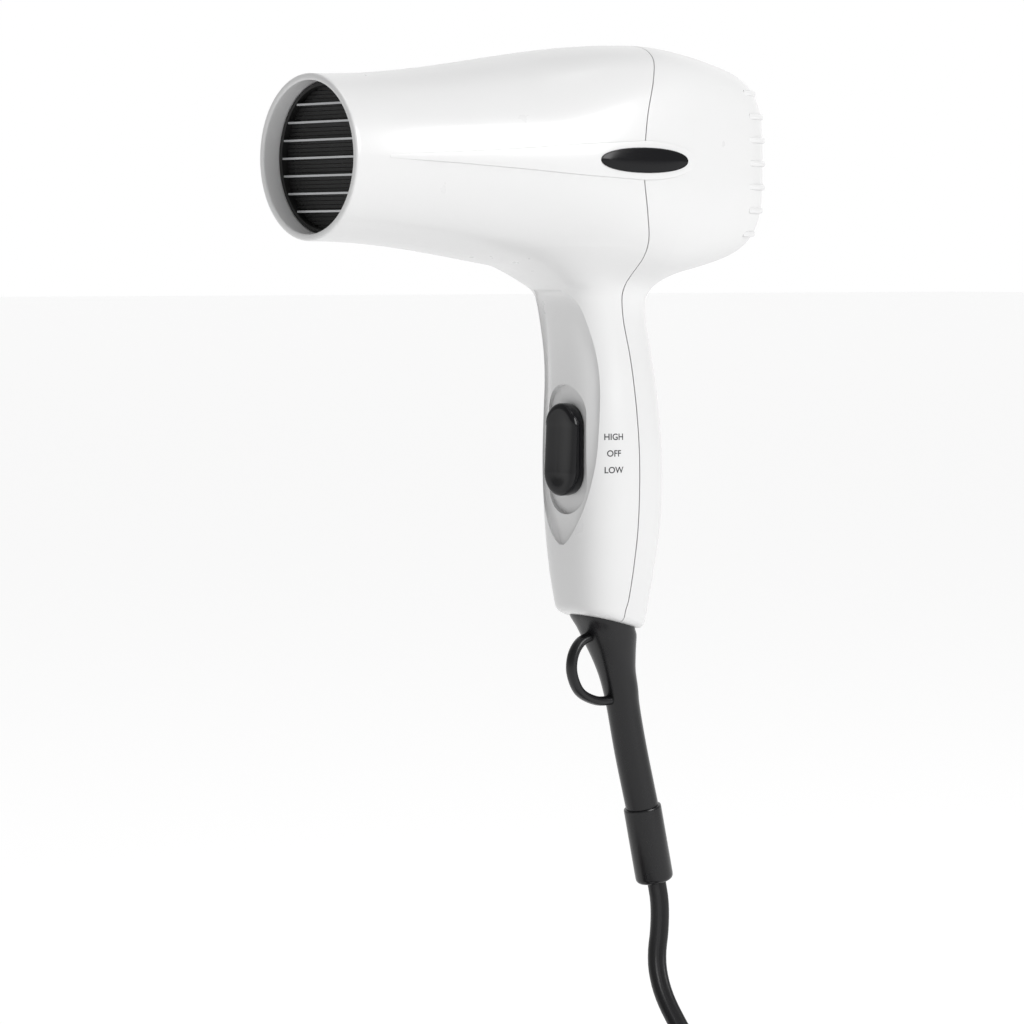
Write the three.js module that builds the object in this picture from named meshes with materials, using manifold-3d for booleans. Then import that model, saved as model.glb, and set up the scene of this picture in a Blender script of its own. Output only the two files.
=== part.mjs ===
// A household hair dryer, in millimetres, +Z up, mouth towards -X. The origin is the middle of the hand grip.
// Two housing shells meet at a seam that runs over the barrel and down the grip. Inside are the heater on
// crossed mica boards, a motor and fan in a duct, and the switch. The cord hangs from a relief with a loop.
import * as THREE from "three";
import { mergeVertices } from "three/addons/utils/BufferGeometryUtils.js";
import Module from "manifold-3d";

// ---- Driving dimensions ----
// Barrel
const NOSE_LENGTH = 114.4; // from the grip's axis to the mouth
const TAIL_LENGTH = 50.9; // from the grip's axis to the intake
const BARREL_RISE = 91; // the barrel's axis above the middle of the grip
const MOUTH_RADIUS = 25;
const BELLY_RADIUS = 36.8; // half the barrel's greatest height
const BELLY_FLATTENING = 0.93; // the tail's half width as a share of its half height
const TAIL_SQUARENESS = 3.5; // superellipse exponent of the tail's section, 2 is round
const CAP_SQUARENESS = 4.4; // and of the round over its end
const WALL = 2.1;
const SEAM_GAP = 0.3;
// Grip
const GRIP_HALF_DEPTH = 17.8; // fore and aft
const GRIP_HALF_WIDTH = 17.2;
const GRIP_SQUARENESS = 2.6;
const GRIP_LENGTH = 54; // from the middle of the grip to its lower end, on its axis
const GRIP_END_TILT = 14.7; // degrees
const SCOOP_DEPTH = 3; // thumb hollow on the grip's front
const SCOOP_HALF_WIDTH = 15;
const SCOOP_HALF_HEIGHT = 46;
const SCOOP_MIDDLE = 8; // above the middle of the grip
// Side trim
const BADGE_HALF_LENGTH = 17.6;
const BADGE_HALF_HEIGHT = 4.2;
const BADGE_PROUD = 0.9;
const BADGE_POCKET = 0.9;
const SWOOSH_PROUD = 0.45;
// Air outlet and heater
const GRILLE_SETBACK = 5.6;
const GRILLE_DEPTH = 5;
const BLADE_COUNT = 7;
const BLADE_PITCH = 5.35;
const BLADE_THICKNESS = 0.7;
const BOARD_THICKNESS = 0.8;
const COIL_COUNT = 4;
const COIL_THICKNESS = 3.2;
// Motor and fan
const MOTOR_RADIUS = 12.2;
const MOTOR_LENGTH = 25;
const SHAFT_RADIUS = 1.2;
const FAN_BLADES = 7;
const FAN_LENGTH = 12;
const DUCT_WALL = 1.6;
const DUCT_GAP = 0.8; // from the housing's inner face
const VANE_COUNT = 5;
// Intake
const RIB_COUNT = 7;
const RIB_PITCH = 7.4;
const RIB_THICKNESS = 1.8;
const RIB_PROUD = 0.8;
// Switch
const KNOB_LENGTH = 29.2;
const KNOB_WIDTH = 14.8;
const KNOB_HEIGHT = 4.9;
const KNOB_TRAVEL = 5.4; // each way from OFF
const KNOB_RISE = 1; // the switch's middle above the middle of the grip
const POCKET_ENDS = 0.5; // left free past each end of the knob's travel
const POCKET_SIDES = 1.9; // and on each side of it
const POCKET_DEPTH = 1.8;
const STEM_WIDTH = 5;
const STEM_LENGTH = 8;
const SWITCH_LENGTH = 31;
const SWITCH_WIDTH = 15;
const SWITCH_DEPTH = 12;
// Cord and what is on it
const CORD_DIAMETER = 6;
const RELIEF_RADIUS = 5.3; // of the relief's long neck
const COLLAR_RADIUS = 6.05;
const COLLAR_LENGTH = 25;
const LOOP_THICKNESS = 3.3;
const FLOOR_Z = -212; // the surface that the coil and the plug lie on
const COIL_MEAN_RADIUS = 34;
const COIL_ROWS = 3; // turns side by side, and layers on each other
const TIE_THICKNESS = 1;
const TIE_WIDTH = 8;
const PLUG_LENGTH = 46;
const PLUG_WIDTH = 34;
const PLUG_HEIGHT = 26;
const PIN_LENGTH = 17;
const PIN_SPACING = 12.7;
const BUTTON_TRAVEL = 1.5;
// Fits
const CLEARANCE = 0.3; // between pieces that touch
const RUNNING = 0.8; // between the fan and its duct

const MOUTH_X = -NOSE_LENGTH;
const REAR_X = TAIL_LENGTH;
const BARREL_LENGTH = NOSE_LENGTH + TAIL_LENGTH;
const pocketLength = KNOB_LENGTH + 2 * (KNOB_TRAVEL + POCKET_ENDS);
const pocketWidth = KNOB_WIDTH + 2 * POCKET_SIDES;
const bundleSize = COIL_ROWS * CORD_DIAMETER + 1;

// ---- Solids ----
const wasm = await Module();
wasm.setup();

function solid(geometry) {
  const bare = geometry.clone();
  bare.deleteAttribute("normal");
  bare.deleteAttribute("uv");
  const merged = mergeVertices(bare, 1e-4);
  return new wasm.Manifold(
    new wasm.Mesh({
      numProp: 3,
      vertProperties: new Float32Array(merged.attributes.position.array),
      triVerts: new Uint32Array(merged.index.array),
    }),
  );
}

function geometryOf(body) {
  const mesh = body.getMesh();
  const points = new Float32Array(mesh.numVert * 3);
  for (let i = 0; i < mesh.numVert; i++) {
    points.set(mesh.vertProperties.subarray(i * mesh.numProp, i * mesh.numProp + 3), i * 3);
  }
  const geometry = new THREE.BufferGeometry();
  geometry.setAttribute("position", new THREE.BufferAttribute(points, 3));
  geometry.setIndex(new THREE.BufferAttribute(new Uint32Array(mesh.triVerts), 1));
  geometry.computeVertexNormals();
  return geometry;
}

const join = (...bodies) => bodies.reduce((a, b) => a.add(b));
const cut = (body, ...tools) => tools.reduce((a, b) => a.subtract(b), body);

// A closed skin over rings of equal point count that follow each other along their normal.
function loft(rings) {
  const count = rings[0].length;
  const positions = rings.flat().flatMap((p) => [p.x, p.y, p.z]);
  const index = [];
  const at = (ring, i) => ring * count + (i % count);
  for (let ring = 0; ring + 1 < rings.length; ring++) {
    for (let i = 0; i < count; i++) {
      index.push(at(ring, i), at(ring, i + 1), at(ring + 1, i));
      index.push(at(ring, i + 1), at(ring + 1, i + 1), at(ring + 1, i));
    }
  }
  for (const [ring, outward] of [[0, false], [rings.length - 1, true]]) {
    const middle = rings[ring].reduce((sum, p) => sum.add(p), new THREE.Vector3()).divideScalar(count);
    const hub = positions.length / 3;
    positions.push(middle.x, middle.y, middle.z);
    for (let i = 0; i < count; i++) {
      index.push(hub, outward ? at(ring, i) : at(ring, i + 1), outward ? at(ring, i + 1) : at(ring, i));
    }
  }
  const geometry = new THREE.BufferGeometry();
  geometry.setAttribute("position", new THREE.Float32BufferAttribute(positions, 3));
  geometry.setIndex(index);
  return solid(geometry);
}

// Points of a superellipse, as [across, up] pairs.
function oval(halfAcross, halfUp, squareness, count) {
  const bend = (v) => Math.sign(v) * Math.abs(v) ** (2 / squareness);
  return Array.from({ length: count }, (_, i) => {
    const angle = (2 * Math.PI * (i + 0.5)) / count;
    return [halfAcross * bend(Math.cos(angle)), halfUp * bend(Math.sin(angle))];
  });
}

function box(x0, x1, y0, y1, z0, z1) {
  const geometry = new THREE.BoxGeometry(x1 - x0, y1 - y0, z1 - z0);
  return solid(geometry.translate((x0 + x1) / 2, (y0 + y1) / 2, (z0 + z1) / 2));
}

// A cylinder along X, Y or Z from one coordinate to another, with its axis through (a, b) in the other two.
function rod(axis, from, to, radius, a, b, sides = 20) {
  const geometry = new THREE.CylinderGeometry(radius, radius, to - from, sides);
  const middle = (from + to) / 2;
  if (axis === "x") return solid(geometry.rotateZ(-Math.PI / 2).translate(middle, a, b));
  if (axis === "y") return solid(geometry.translate(a, middle, b));
  return solid(geometry.rotateX(Math.PI / 2).translate(a, b, middle));
}

// A sleeve on the barrel's axis.
function tube(from, to, outer, inner, sides = 24) {
  const bore = rod("x", from - 1, to + 1, inner, 0, BARREL_RISE, sides);
  return cut(rod("x", from, to, outer, 0, BARREL_RISE, sides), bore);
}

// A prism along Y over an outline of [x, z] points, from y0 to y1.
function slab(outline, y0, y1) {
  const shape = new THREE.Shape(outline.map(([x, z]) => new THREE.Vector2(x, z)));
  const geometry = new THREE.ExtrudeGeometry(shape, { depth: y1 - y0, bevelEnabled: false });
  return solid(geometry.rotateX(Math.PI / 2).translate(0, y1, 0));
}

// A prism along X over an outline of [y, z] points, from x0 to x1.
function slabX(outline, x0, x1) {
  const shape = new THREE.Shape(outline.map(([y, z]) => new THREE.Vector2(y, z)));
  const geometry = new THREE.ExtrudeGeometry(shape, { depth: x1 - x0, bevelEnabled: false });
  return solid(geometry.rotateX(Math.PI / 2).rotateZ(Math.PI / 2).translate(x0, 0, 0));
}

// A stadium with round ends, as [across, up] points.
function stadium(width, length, midUp, steps = 8) {
  const radius = width / 2;
  const straight = length / 2 - radius;
  return [1, -1].flatMap((end) =>
    Array.from({ length: steps + 1 }, (_, i) => {
      const angle = (Math.PI * i) / steps + (end > 0 ? 0 : Math.PI);
      return [radius * Math.cos(angle), midUp + end * straight + radius * Math.sin(angle)];
    }),
  );
}

// A solid tube of a round section along a curve.
function hose(curve, radius, steps, sides = 8) {
  const section = new THREE.Shape(
    oval(radius, radius, 2, sides).map(([across, up]) => new THREE.Vector2(across, up)),
  );
  const geometry = new THREE.ExtrudeGeometry(section, { steps, extrudePath: curve, bevelEnabled: false });
  const made = solid(geometry);
  return made.volume() < 0 ? solid(flipped(geometry)) : made;
}

function flipped(geometry) {
  const turned = geometry.index ? geometry.toNonIndexed() : geometry.clone();
  const points = turned.attributes.position;
  for (let i = 0; i < points.count; i += 3) {
    const [b, c] = [1, 2].map((k) => new THREE.Vector3().fromBufferAttribute(points, i + k));
    points.setXYZ(i + 1, c.x, c.y, c.z);
    points.setXYZ(i + 2, b.x, b.y, b.z);
  }
  return turned;
}

const through = (points) =>
  new THREE.CatmullRomCurve3(points.map(([x, y, z]) => new THREE.Vector3(x, y, z)), false, "centripetal");

// ---- Outer shape of the barrel and the grip ----
const BELLY_SHARE = 0.715; // where the greatest section is, as a share of the barrel's length from the mouth
const CAP_SHARE = 0.875; // where the round over the tail starts
const TAIL_SHRINK = 4.1; // how much the half height has dropped there
const SQUARING_START = 0.42; // where the round section starts to turn into the tail's
const SQUARING_LENGTH = 0.42;

const BARREL_STEPS = 9;
const CAP_STEPS = 4;
const BARREL_SIDES = 24;
const GRIP_SIDES = 20;

const smooth = (t) => t * t * (3 - 2 * t);

// The barrel's half height at a share of its length, before the rounding of the tail's end.
function halfHeight(share) {
  if (share <= BELLY_SHARE) {
    const t = smooth(Math.max(share / BELLY_SHARE, 0) ** 1.07);
    return MOUTH_RADIUS + (BELLY_RADIUS - MOUTH_RADIUS) * t;
  }
  const past = (share - BELLY_SHARE) / (CAP_SHARE - BELLY_SHARE);
  return BELLY_RADIUS - TAIL_SHRINK * Math.max(past, 0) ** 1.5;
}

const squaring = (share) => smooth(Math.min(Math.max((share - SQUARING_START) / SQUARING_LENGTH, 0), 1));
const halfWidth = (share) => halfHeight(share) * (1 + (BELLY_FLATTENING - 1) * squaring(share));

// The barrel's solid, grown or shrunk by an offset. With an open mouth it runs on past the mouth.
function barrel(offset, openMouth = false) {
  const shares = [];
  for (let i = 0; i <= BARREL_STEPS; i++) shares.push((CAP_SHARE * i) / BARREL_STEPS);
  const stations = shares.map((share) => [MOUTH_X + share * BARREL_LENGTH, share, 1]);
  const capStart = MOUTH_X + CAP_SHARE * BARREL_LENGTH;
  const capLength = REAR_X + offset - capStart;
  for (let i = 1; i <= CAP_STEPS; i++) {
    const u = Math.sin((Math.PI / 2) * (i / CAP_STEPS) * 0.97);
    const rounding = (1 - u ** CAP_SQUARENESS) ** (1 / CAP_SQUARENESS);
    stations.push([capStart + u * capLength, CAP_SHARE + u * (1 - CAP_SHARE), rounding]);
  }
  if (openMouth) stations.unshift([MOUTH_X - 4, 0, 1]);
  return loft(
    stations.map(([x, share, rounding]) => {
      const up = (halfHeight(share) + offset) * rounding;
      const across = (halfWidth(share) + offset) * rounding;
      const squareness = 2 + (TAIL_SQUARENESS - 2) * squaring(share);
      const ring = oval(across, up, squareness, BARREL_SIDES);
      return ring.map(([y, z]) => new THREE.Vector3(x, y, BARREL_RISE + z));
    }),
  );
}

// Grip sections: height as a share of the grip's length below the middle or of its rise above it,
// the centre's place fore and aft, and the half depth and half width as shares of the greatest.
const GRIP_SECTIONS = [
  [-1.2, 0, 0.56, 0.56],
  [-1.04, 0, 0.7, 0.7],
  [-0.86, -0.1, 0.8, 0.8],
  [-0.66, 0, 0.89, 0.89],
  [-0.4, 0.3, 0.97, 0.97],
  [-0.05, 0.1, 1, 1],
  [0.13, -0.5, 0.975, 0.975],
  [0.25, -1.2, 0.935, 0.935],
  [0.36, -2.4, 0.9, 0.9],
  [0.46, -3.9, 0.885, 0.885],
  [0.52, -4.6, 0.91, 0.9],
  [0.56, -5, 1, 0.93],
  [0.6, -6.5, 1.22, 0.98],
  [0.65, -8, 1.45, 1.1],
  [0.71, -8, 1.6, 1.3],
];

const gripHeight = (share) => share * (share < 0 ? GRIP_LENGTH : BARREL_RISE);

// How far back the grip's hollow reaches at a height above the middle of the grip.
function hollowBack(z) {
  const above = GRIP_SECTIONS.findIndex(([share]) => gripHeight(share) > z);
  const [low, high] = [GRIP_SECTIONS[above - 1], GRIP_SECTIONS[above]];
  const part = (z - gripHeight(low[0])) / (gripHeight(high[0]) - gripHeight(low[0]));
  const mix = (column) => low[column] + (high[column] - low[column]) * part;
  return mix(1) + GRIP_HALF_DEPTH * Math.min(mix(2), 1) - WALL;
}

// The grip's solid. The hollow one runs on past the lower end and keeps straight where the outer one flares.
function grip(offset, hollow = false) {
  const straight = (size) => (hollow ? Math.min(size, 1) : size);
  const rings = GRIP_SECTIONS.map(([share, x, depth, width]) =>
    oval(
      GRIP_HALF_DEPTH * straight(depth) + offset,
      GRIP_HALF_WIDTH * straight(width) + offset,
      GRIP_SQUARENESS,
      GRIP_SIDES,
    ).map(([fore, side]) => new THREE.Vector3(x + fore, side, gripHeight(share))),
  );
  return hollow ? loft(rings) : cut(loft(rings), belowGripEnd(offset));
}

// Everything below the grip's sloping lower end.
function belowGripEnd(offset = 0) {
  const tilt = THREE.MathUtils.degToRad(GRIP_END_TILT);
  const geometry = new THREE.BoxGeometry(120, 120, 60).translate(0, 0, -30 - offset);
  return solid(geometry.rotateY(tilt).translate(0, 0, -GRIP_LENGTH));
}

// ---- Seam between the housings ----
// [height above the middle of the grip as a share of the barrel's rise, place fore and aft]
const SEAM = [
  [1.6, 4], [1.43, 3.2], [1.36, 0.3], [1.28, -4.6], [1.17, -9.6], [1.06, -11.8], [0.94, -12.1], [0.82, -9.6],
  [0.72, -6.4], [0.62, -4.8], [0.54, -4.9], [0.45, -3.8], [0.34, -1.6], [0.22, -0.2], [0.05, 0.9], [-0.12, 1.3],
  [-0.3, 1], [-0.5, -0.2], [-0.62, -1.6], [-1.2, -3],
];

function seamLine(shift) {
  const curve = new THREE.SplineCurve(SEAM.map(([share, x]) => new THREE.Vector2(x, share * BARREL_RISE)));
  return curve.getPoints(20).map((p) => [p.x + shift, p.y]);
}

const far = 400;
const frontSide = () => {
  const line = seamLine(-SEAM_GAP / 2);
  return slab([...line, [-far, line.at(-1)[1]], [-far, line[0][1]]], -80, 80);
};
const rearSide = () => {
  const line = seamLine(SEAM_GAP / 2);
  return slab([...line, [far, line.at(-1)[1]], [far, line[0][1]]].reverse(), -80, 80);
};

// ---- Side trim: a teardrop ridge with an oval badge in it ----
const BADGE_MIDDLE = -12; // fore and aft

function badgeOutline(grow, steps = 28) {
  return oval(BADGE_HALF_LENGTH + grow, BADGE_HALF_HEIGHT + grow, 2, steps).map(([x, z]) => [
    BADGE_MIDDLE + x,
    BARREL_RISE + z,
  ]);
}

// A long point towards the mouth, and a half oval that leaves a rim round the badge.
function swooshOutline() {
  const tipX = MOUTH_X + 12.6;
  const half = BADGE_HALF_HEIGHT + 1.9;
  const tail = BADGE_HALF_LENGTH + 3.4;
  const reach = BADGE_MIDDLE - tipX;
  const upper = [[0, 0.11], [0.25, 0.26], [0.51, 0.51], [0.78, 0.82]].map(([along, share]) => [
    tipX + along * reach,
    share * half,
  ]);
  const steps = 10;
  const round = Array.from({ length: steps + 1 }, (_, i) => {
    const angle = Math.PI / 2 - (Math.PI * i) / steps;
    return [BADGE_MIDDLE + tail * Math.cos(angle), half * Math.sin(angle)];
  });
  const line = [...upper, ...round, ...upper.map(([x, z]) => [x, -z]).reverse()];
  return line.reverse().map(([x, z]) => [x, BARREL_RISE + z]);
}

const bothSides = (make) => join(make(-60, -12), make(12, 60));

function swoosh() {
  return bothSides((y0, y1) => slab(swooshOutline(), y0, y1)).intersect(barrel(SWOOSH_PROUD));
}

function badgePockets() {
  return cut(bothSides((y0, y1) => slab(badgeOutline(0), y0, y1)), barrel(-BADGE_POCKET));
}

function badge(side) {
  const [y0, y1] = side === "left" ? [-60, -12] : [12, 60];
  const proud = slab(badgeOutline(-CLEARANCE), y0, y1).intersect(barrel(BADGE_PROUD));
  return cut(proud, barrel(CLEARANCE - BADGE_POCKET));
}

// ---- Housings ----
const SCREW_HEIGHTS = { upper: BARREL_RISE - BELLY_RADIUS - 7.2, lower: 16 - GRIP_LENGTH };
const SCREW_RADIUS = 1.3;
const SCREW_HEAD_RADIUS = 3;
const BOSS_RADIUS = 3.6;
const gripBack = (height) => (height > 0 ? 11.2 : 15);
const scoopSurface = SCOOP_DEPTH - GRIP_HALF_DEPTH;
const pocketFloor = scoopSurface + POCKET_DEPTH;
const seatBack = pocketFloor + 3.4; // inner face of the thick wall that carries the switch
const stemSlotHalf = STEM_WIDTH / 2 + CLEARANCE;
const stemReach = STEM_LENGTH / 2 + KNOB_TRAVEL + POCKET_ENDS;

// An ellipsoid that dips into the grip's front. Grown by the wall, it keeps the wall behind the hollow.
function thumbScoop(grow = 0) {
  const reach = 3 * SCOOP_DEPTH;
  const geometry = new THREE.SphereGeometry(1, 16, 10);
  geometry.scale(reach + grow, SCOOP_HALF_WIDTH + grow, SCOOP_HALF_HEIGHT + grow);
  return solid(geometry.translate(scoopSurface - reach, 0, SCOOP_MIDDLE));
}

function screwHole(name) {
  const z = SCREW_HEIGHTS[name];
  const head = gripBack(z) - 4;
  return join(
    rod("x", -12, head + 1, SCREW_RADIUS + CLEARANCE, 0, z, 12),
    rod("x", head, 40, SCREW_HEAD_RADIUS + CLEARANCE, 0, z, 16),
  );
}

function shell() {
  const outside = join(barrel(0), grip(0), swoosh());
  const inside = cut(join(barrel(-WALL, true), grip(-WALL, true)), thumbScoop(WALL));
  const seatLow = KNOB_RISE - pocketLength / 2 - 3.5;
  const seatHigh = KNOB_RISE + pocketLength / 2 + 3.5;
  const seat = box(-40, seatBack, -pocketWidth / 2 - 2.7, pocketWidth / 2 + 2.7, seatLow, seatHigh);
  const bosses = Object.values(SCREW_HEIGHTS).map((z) => rod("x", -30, 30, BOSS_RADIUS, 0, z, 16));
  const kept = join(cut(outside, inside), join(seat, ...bosses).intersect(join(barrel(-0.2), grip(-0.2))));
  return cut(
    kept,
    badgePockets(),
    thumbScoop(),
    slabX(stadium(pocketWidth, pocketLength, KNOB_RISE), -40, pocketFloor),
    box(-40, 0, -stemSlotHalf, stemSlotHalf, KNOB_RISE - stemReach, KNOB_RISE + stemReach),
    screwHole("upper"),
    screwHole("lower"),
  );
}

const ribHeights = Array.from(
  { length: RIB_COUNT },
  (_, i) => BARREL_RISE + (i - (RIB_COUNT - 1) / 2) * RIB_PITCH,
);
const intakeX = MOUTH_X + 0.93 * BARREL_LENGTH;
const intakeHalfWidth = BELLY_RADIUS * 0.56;

function intakeSlots() {
  const slotHalf = (RIB_PITCH - RIB_THICKNESS) / 2 - 0.9;
  const slots = [];
  for (let i = 0; i + 1 < RIB_COUNT; i++) {
    const z = (ribHeights[i] + ribHeights[i + 1]) / 2;
    for (const side of [-1, 1]) {
      const [near, wide] = [side * 1.2, side * intakeHalfWidth].sort((a, b) => a - b);
      slots.push(box(intakeX, REAR_X + 9, near, wide, z - slotHalf, z + slotHalf));
    }
  }
  return join(...slots);
}

function intakeRibs() {
  const bars = ribHeights.map((z) =>
    box(intakeX - 2, REAR_X + 9, -BELLY_RADIUS, BELLY_RADIUS, z - RIB_THICKNESS / 2, z + RIB_THICKNESS / 2),
  );
  return cut(join(...bars).intersect(barrel(RIB_PROUD)), barrel(-WALL / 2));
}

// ---- Outlet grille and heater ----
const noseInner = MOUTH_RADIUS - WALL;
const grilleX = MOUTH_X + GRILLE_SETBACK;
const grilleOuter = noseInner - CLEARANCE;
const grilleInner = grilleOuter - 2;
const ductFront = -30;
const sleeveOuter = grilleOuter - 0.9;
const sleeveInner = sleeveOuter - 0.7;
const heaterX = grilleX + GRILLE_DEPTH + 2.5;
const heaterEnd = ductFront - 6.5;
const boardHalf = sleeveInner - CLEARANCE;
const coilRadius = boardHalf - 3;

function outletGrille() {
  const ring = tube(grilleX, grilleX + GRILLE_DEPTH, grilleOuter, grilleInner, 28);
  const blades = Array.from({ length: BLADE_COUNT }, (_, i) => {
    const up = (i - (BLADE_COUNT - 1) / 2) * BLADE_PITCH;
    const half = Math.sqrt((grilleInner + 0.6) ** 2 - up ** 2);
    const z = BARREL_RISE + up;
    return box(
      grilleX, grilleX + GRILLE_DEPTH - 1, -half, half, z - BLADE_THICKNESS / 2, z + BLADE_THICKNESS / 2,
    );
  });
  return join(ring, ...blades);
}

const coilX = (i) => heaterX + 9 + (i * (heaterEnd - heaterX - 22)) / (COIL_COUNT - 1);

function board(vertical) {
  const flat = BOARD_THICKNESS / 2;
  const plate = vertical
    ? box(heaterX, heaterEnd, -flat, flat, BARREL_RISE - boardHalf, BARREL_RISE + boardHalf)
    : box(heaterX, heaterEnd, -boardHalf, boardHalf, BARREL_RISE - flat, BARREL_RISE + flat);
  const notches = Array.from({ length: COIL_COUNT }, (_, i) =>
    tube(
      coilX(i) - COIL_THICKNESS / 2 - CLEARANCE,
      coilX(i) + COIL_THICKNESS / 2 + CLEARANCE,
      sleeveOuter + 3,
      coilRadius - COIL_THICKNESS / 2 - CLEARANCE,
      24,
    ),
  );
  const middle = (heaterX + heaterEnd) / 2;
  const half = flat + CLEARANCE;
  const slot = vertical
    ? box(middle - CLEARANCE / 2, heaterEnd + 1, -5, 5, BARREL_RISE - half, BARREL_RISE + half)
    : box(heaterX - 1, middle + CLEARANCE / 2, -half, half, BARREL_RISE - 5, BARREL_RISE + 5);
  return cut(plate, slot, ...notches);
}

function heaterCoil(i) {
  const geometry = new THREE.TorusGeometry(coilRadius, COIL_THICKNESS / 2, 6, 20);
  return solid(geometry.rotateY(Math.PI / 2).translate(coilX(i), 0, BARREL_RISE));
}

// ---- Motor, duct and fan ----
const motorX = ductFront - 1;
const motorEnd = motorX + MOTOR_LENGTH;
const fanX = motorEnd + 4;
const ductEnd = fanX + FAN_LENGTH + 3;
const hollowAt = (x) => halfWidth((x - MOUTH_X) / BARREL_LENGTH) - WALL;
const ductOuter = Math.min(hollowAt(ductFront), hollowAt(ductEnd)) - DUCT_GAP;
const ductInner = ductOuter - DUCT_WALL;
const fanRadius = ductInner - RUNNING;
const cupInner = MOTOR_RADIUS + CLEARANCE;
const cupOuter = cupInner + 1.5;

function fanDuct() {
  const vanes = Array.from({ length: VANE_COUNT }, (_, i) => {
    const geometry = new THREE.BoxGeometry(17, 1.4, ductInner - cupInner + 0.2);
    geometry.translate(0, 0, (ductInner + cupInner) / 2).rotateX((2 * Math.PI * i) / VANE_COUNT);
    return solid(geometry.translate(ductFront + 9.5, 0, BARREL_RISE));
  });
  const cup = tube(ductFront, motorEnd + 2, cupOuter, cupInner);
  const endPlate = tube(motorEnd + CLEARANCE, motorEnd + 2, cupInner + 0.5, SHAFT_RADIUS + 1.8);
  return join(tube(ductFront, ductEnd, ductOuter, ductInner, 28), cup, endPlate, ...vanes);
}

function fan() {
  const hub = rod("x", fanX, fanX + FAN_LENGTH, 9, 0, BARREL_RISE, 24);
  const blades = Array.from({ length: FAN_BLADES }, (_, i) => {
    const geometry = new THREE.BoxGeometry(FAN_LENGTH - 2, 1.3, fanRadius - 8.6);
    geometry.rotateZ(THREE.MathUtils.degToRad(38)).translate(0, 0, (fanRadius + 8.2) / 2);
    geometry.rotateX((2 * Math.PI * i) / FAN_BLADES).translate(fanX + FAN_LENGTH / 2, 0, BARREL_RISE);
    return solid(geometry);
  });
  const bore = rod("x", fanX - 1, fanX + FAN_LENGTH - 2, SHAFT_RADIUS + CLEARANCE, 0, BARREL_RISE, 16);
  return cut(join(hub, ...blades), bore);
}

function lintScreen() {
  const x0 = intakeX - 5;
  const disc = barrel(-WALL - CLEARANCE).intersect(box(x0, x0 + 1.2, -60, 60, 0, 200));
  const holes = [];
  for (const y of [-13, 0, 13]) {
    for (const z of [-16, 0, 16]) {
      holes.push(box(x0 - 1, x0 + 3, y - 5.5, y + 5.5, BARREL_RISE + z - 7, BARREL_RISE + z + 7));
    }
  }
  return cut(disc, join(...holes));
}

// ---- Switch ----
const knobBack = pocketFloor - CLEARANCE;
const sliderFront = seatBack + CLEARANCE;

function knob() {
  const steps = 5;
  const rings = Array.from({ length: steps + 1 }, (_, i) => {
    const u = i / steps;
    const inset = 1.5 * u ** 3;
    return stadium(KNOB_WIDTH - 2 * inset, KNOB_LENGTH - 2 * inset, KNOB_RISE, 8).map(([across, up]) => {
      const along = (up - KNOB_RISE) / (KNOB_LENGTH / 2);
      const saddle = 1.4 * (1 - Math.min(Math.abs(along) / 0.75, 1) ** 2) * u;
      return new THREE.Vector3(knobBack - KNOB_HEIGHT * u + saddle, across, up);
    });
  });
  const body = loft(rings.reverse());
  const stem = box(
    knobBack - 1, seatBack - 1, -STEM_WIDTH / 2, STEM_WIDTH / 2,
    KNOB_RISE - STEM_LENGTH / 2, KNOB_RISE + STEM_LENGTH / 2,
  );
  return join(body, stem);
}

function slider() {
  const half = STEM_WIDTH / 2;
  const boss = box(
    seatBack - 1 + CLEARANCE, sliderFront + 0.5, -half, half,
    KNOB_RISE - STEM_LENGTH / 2, KNOB_RISE + STEM_LENGTH / 2,
  );
  return join(boss, box(sliderFront, sliderFront + 1.6, -5.5, 5.5, KNOB_RISE - 10, KNOB_RISE + 10));
}

const switchFront = sliderFront + 1.6 + CLEARANCE;
const switchBack = switchFront + SWITCH_DEPTH;

const switchLow = KNOB_RISE - SWITCH_LENGTH / 2;
const switchHigh = KNOB_RISE + SWITCH_LENGTH / 2;

function switchBody() {
  const half = SWITCH_WIDTH / 2;
  const [x0, x1] = [switchBack - 3, switchBack - 1];
  const tabs = [-4, 4].map((y) => box(x0, x1, y - 1, y + 1, switchLow - 3, switchLow + 1));
  return join(box(switchFront, switchBack, -half, half, switchLow, switchHigh), ...tabs);
}

// ---- Boards, leads and clamp in the grip ----
const BOARD_X = 3;
const BOARD_LENGTH = 18;
const boardHigh = SCREW_HEIGHTS.upper - 7;
const boardLow = boardHigh - BOARD_LENGTH;

const rectifierBoard = () => box(BOARD_X, BOARD_X + 1.4, -9, 9, boardLow, boardHigh);
const diode = (i) => rod("z", boardLow + 2, boardLow + 8, 1.4, BOARD_X - CLEARANCE - 1.4, -6 + 4 * i, 10);
const capacitor = () => box(BOARD_X - 6.2, BOARD_X - CLEARANCE, -6, 6, boardLow + 10, boardHigh - 1);

const LEAD_RADIUS = 1.3;
const CLAMP_X = 0.5;
const CLAMP_SPREAD = 4; // each supply lead's place to the side
const clampZ = SCREW_HEIGHTS.lower + 11;

function cordClamp() {
  const holes = [-CLAMP_SPREAD, CLAMP_SPREAD].map((y) =>
    rod("z", clampZ - 5, clampZ + 5, LEAD_RADIUS + CLEARANCE, CLAMP_X, y, 12),
  );
  return cut(box(CLAMP_X - 4.5, CLAMP_X + 4.5, -11, 11, clampZ - 2.5, clampZ + 2.5), ...holes);
}

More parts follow.
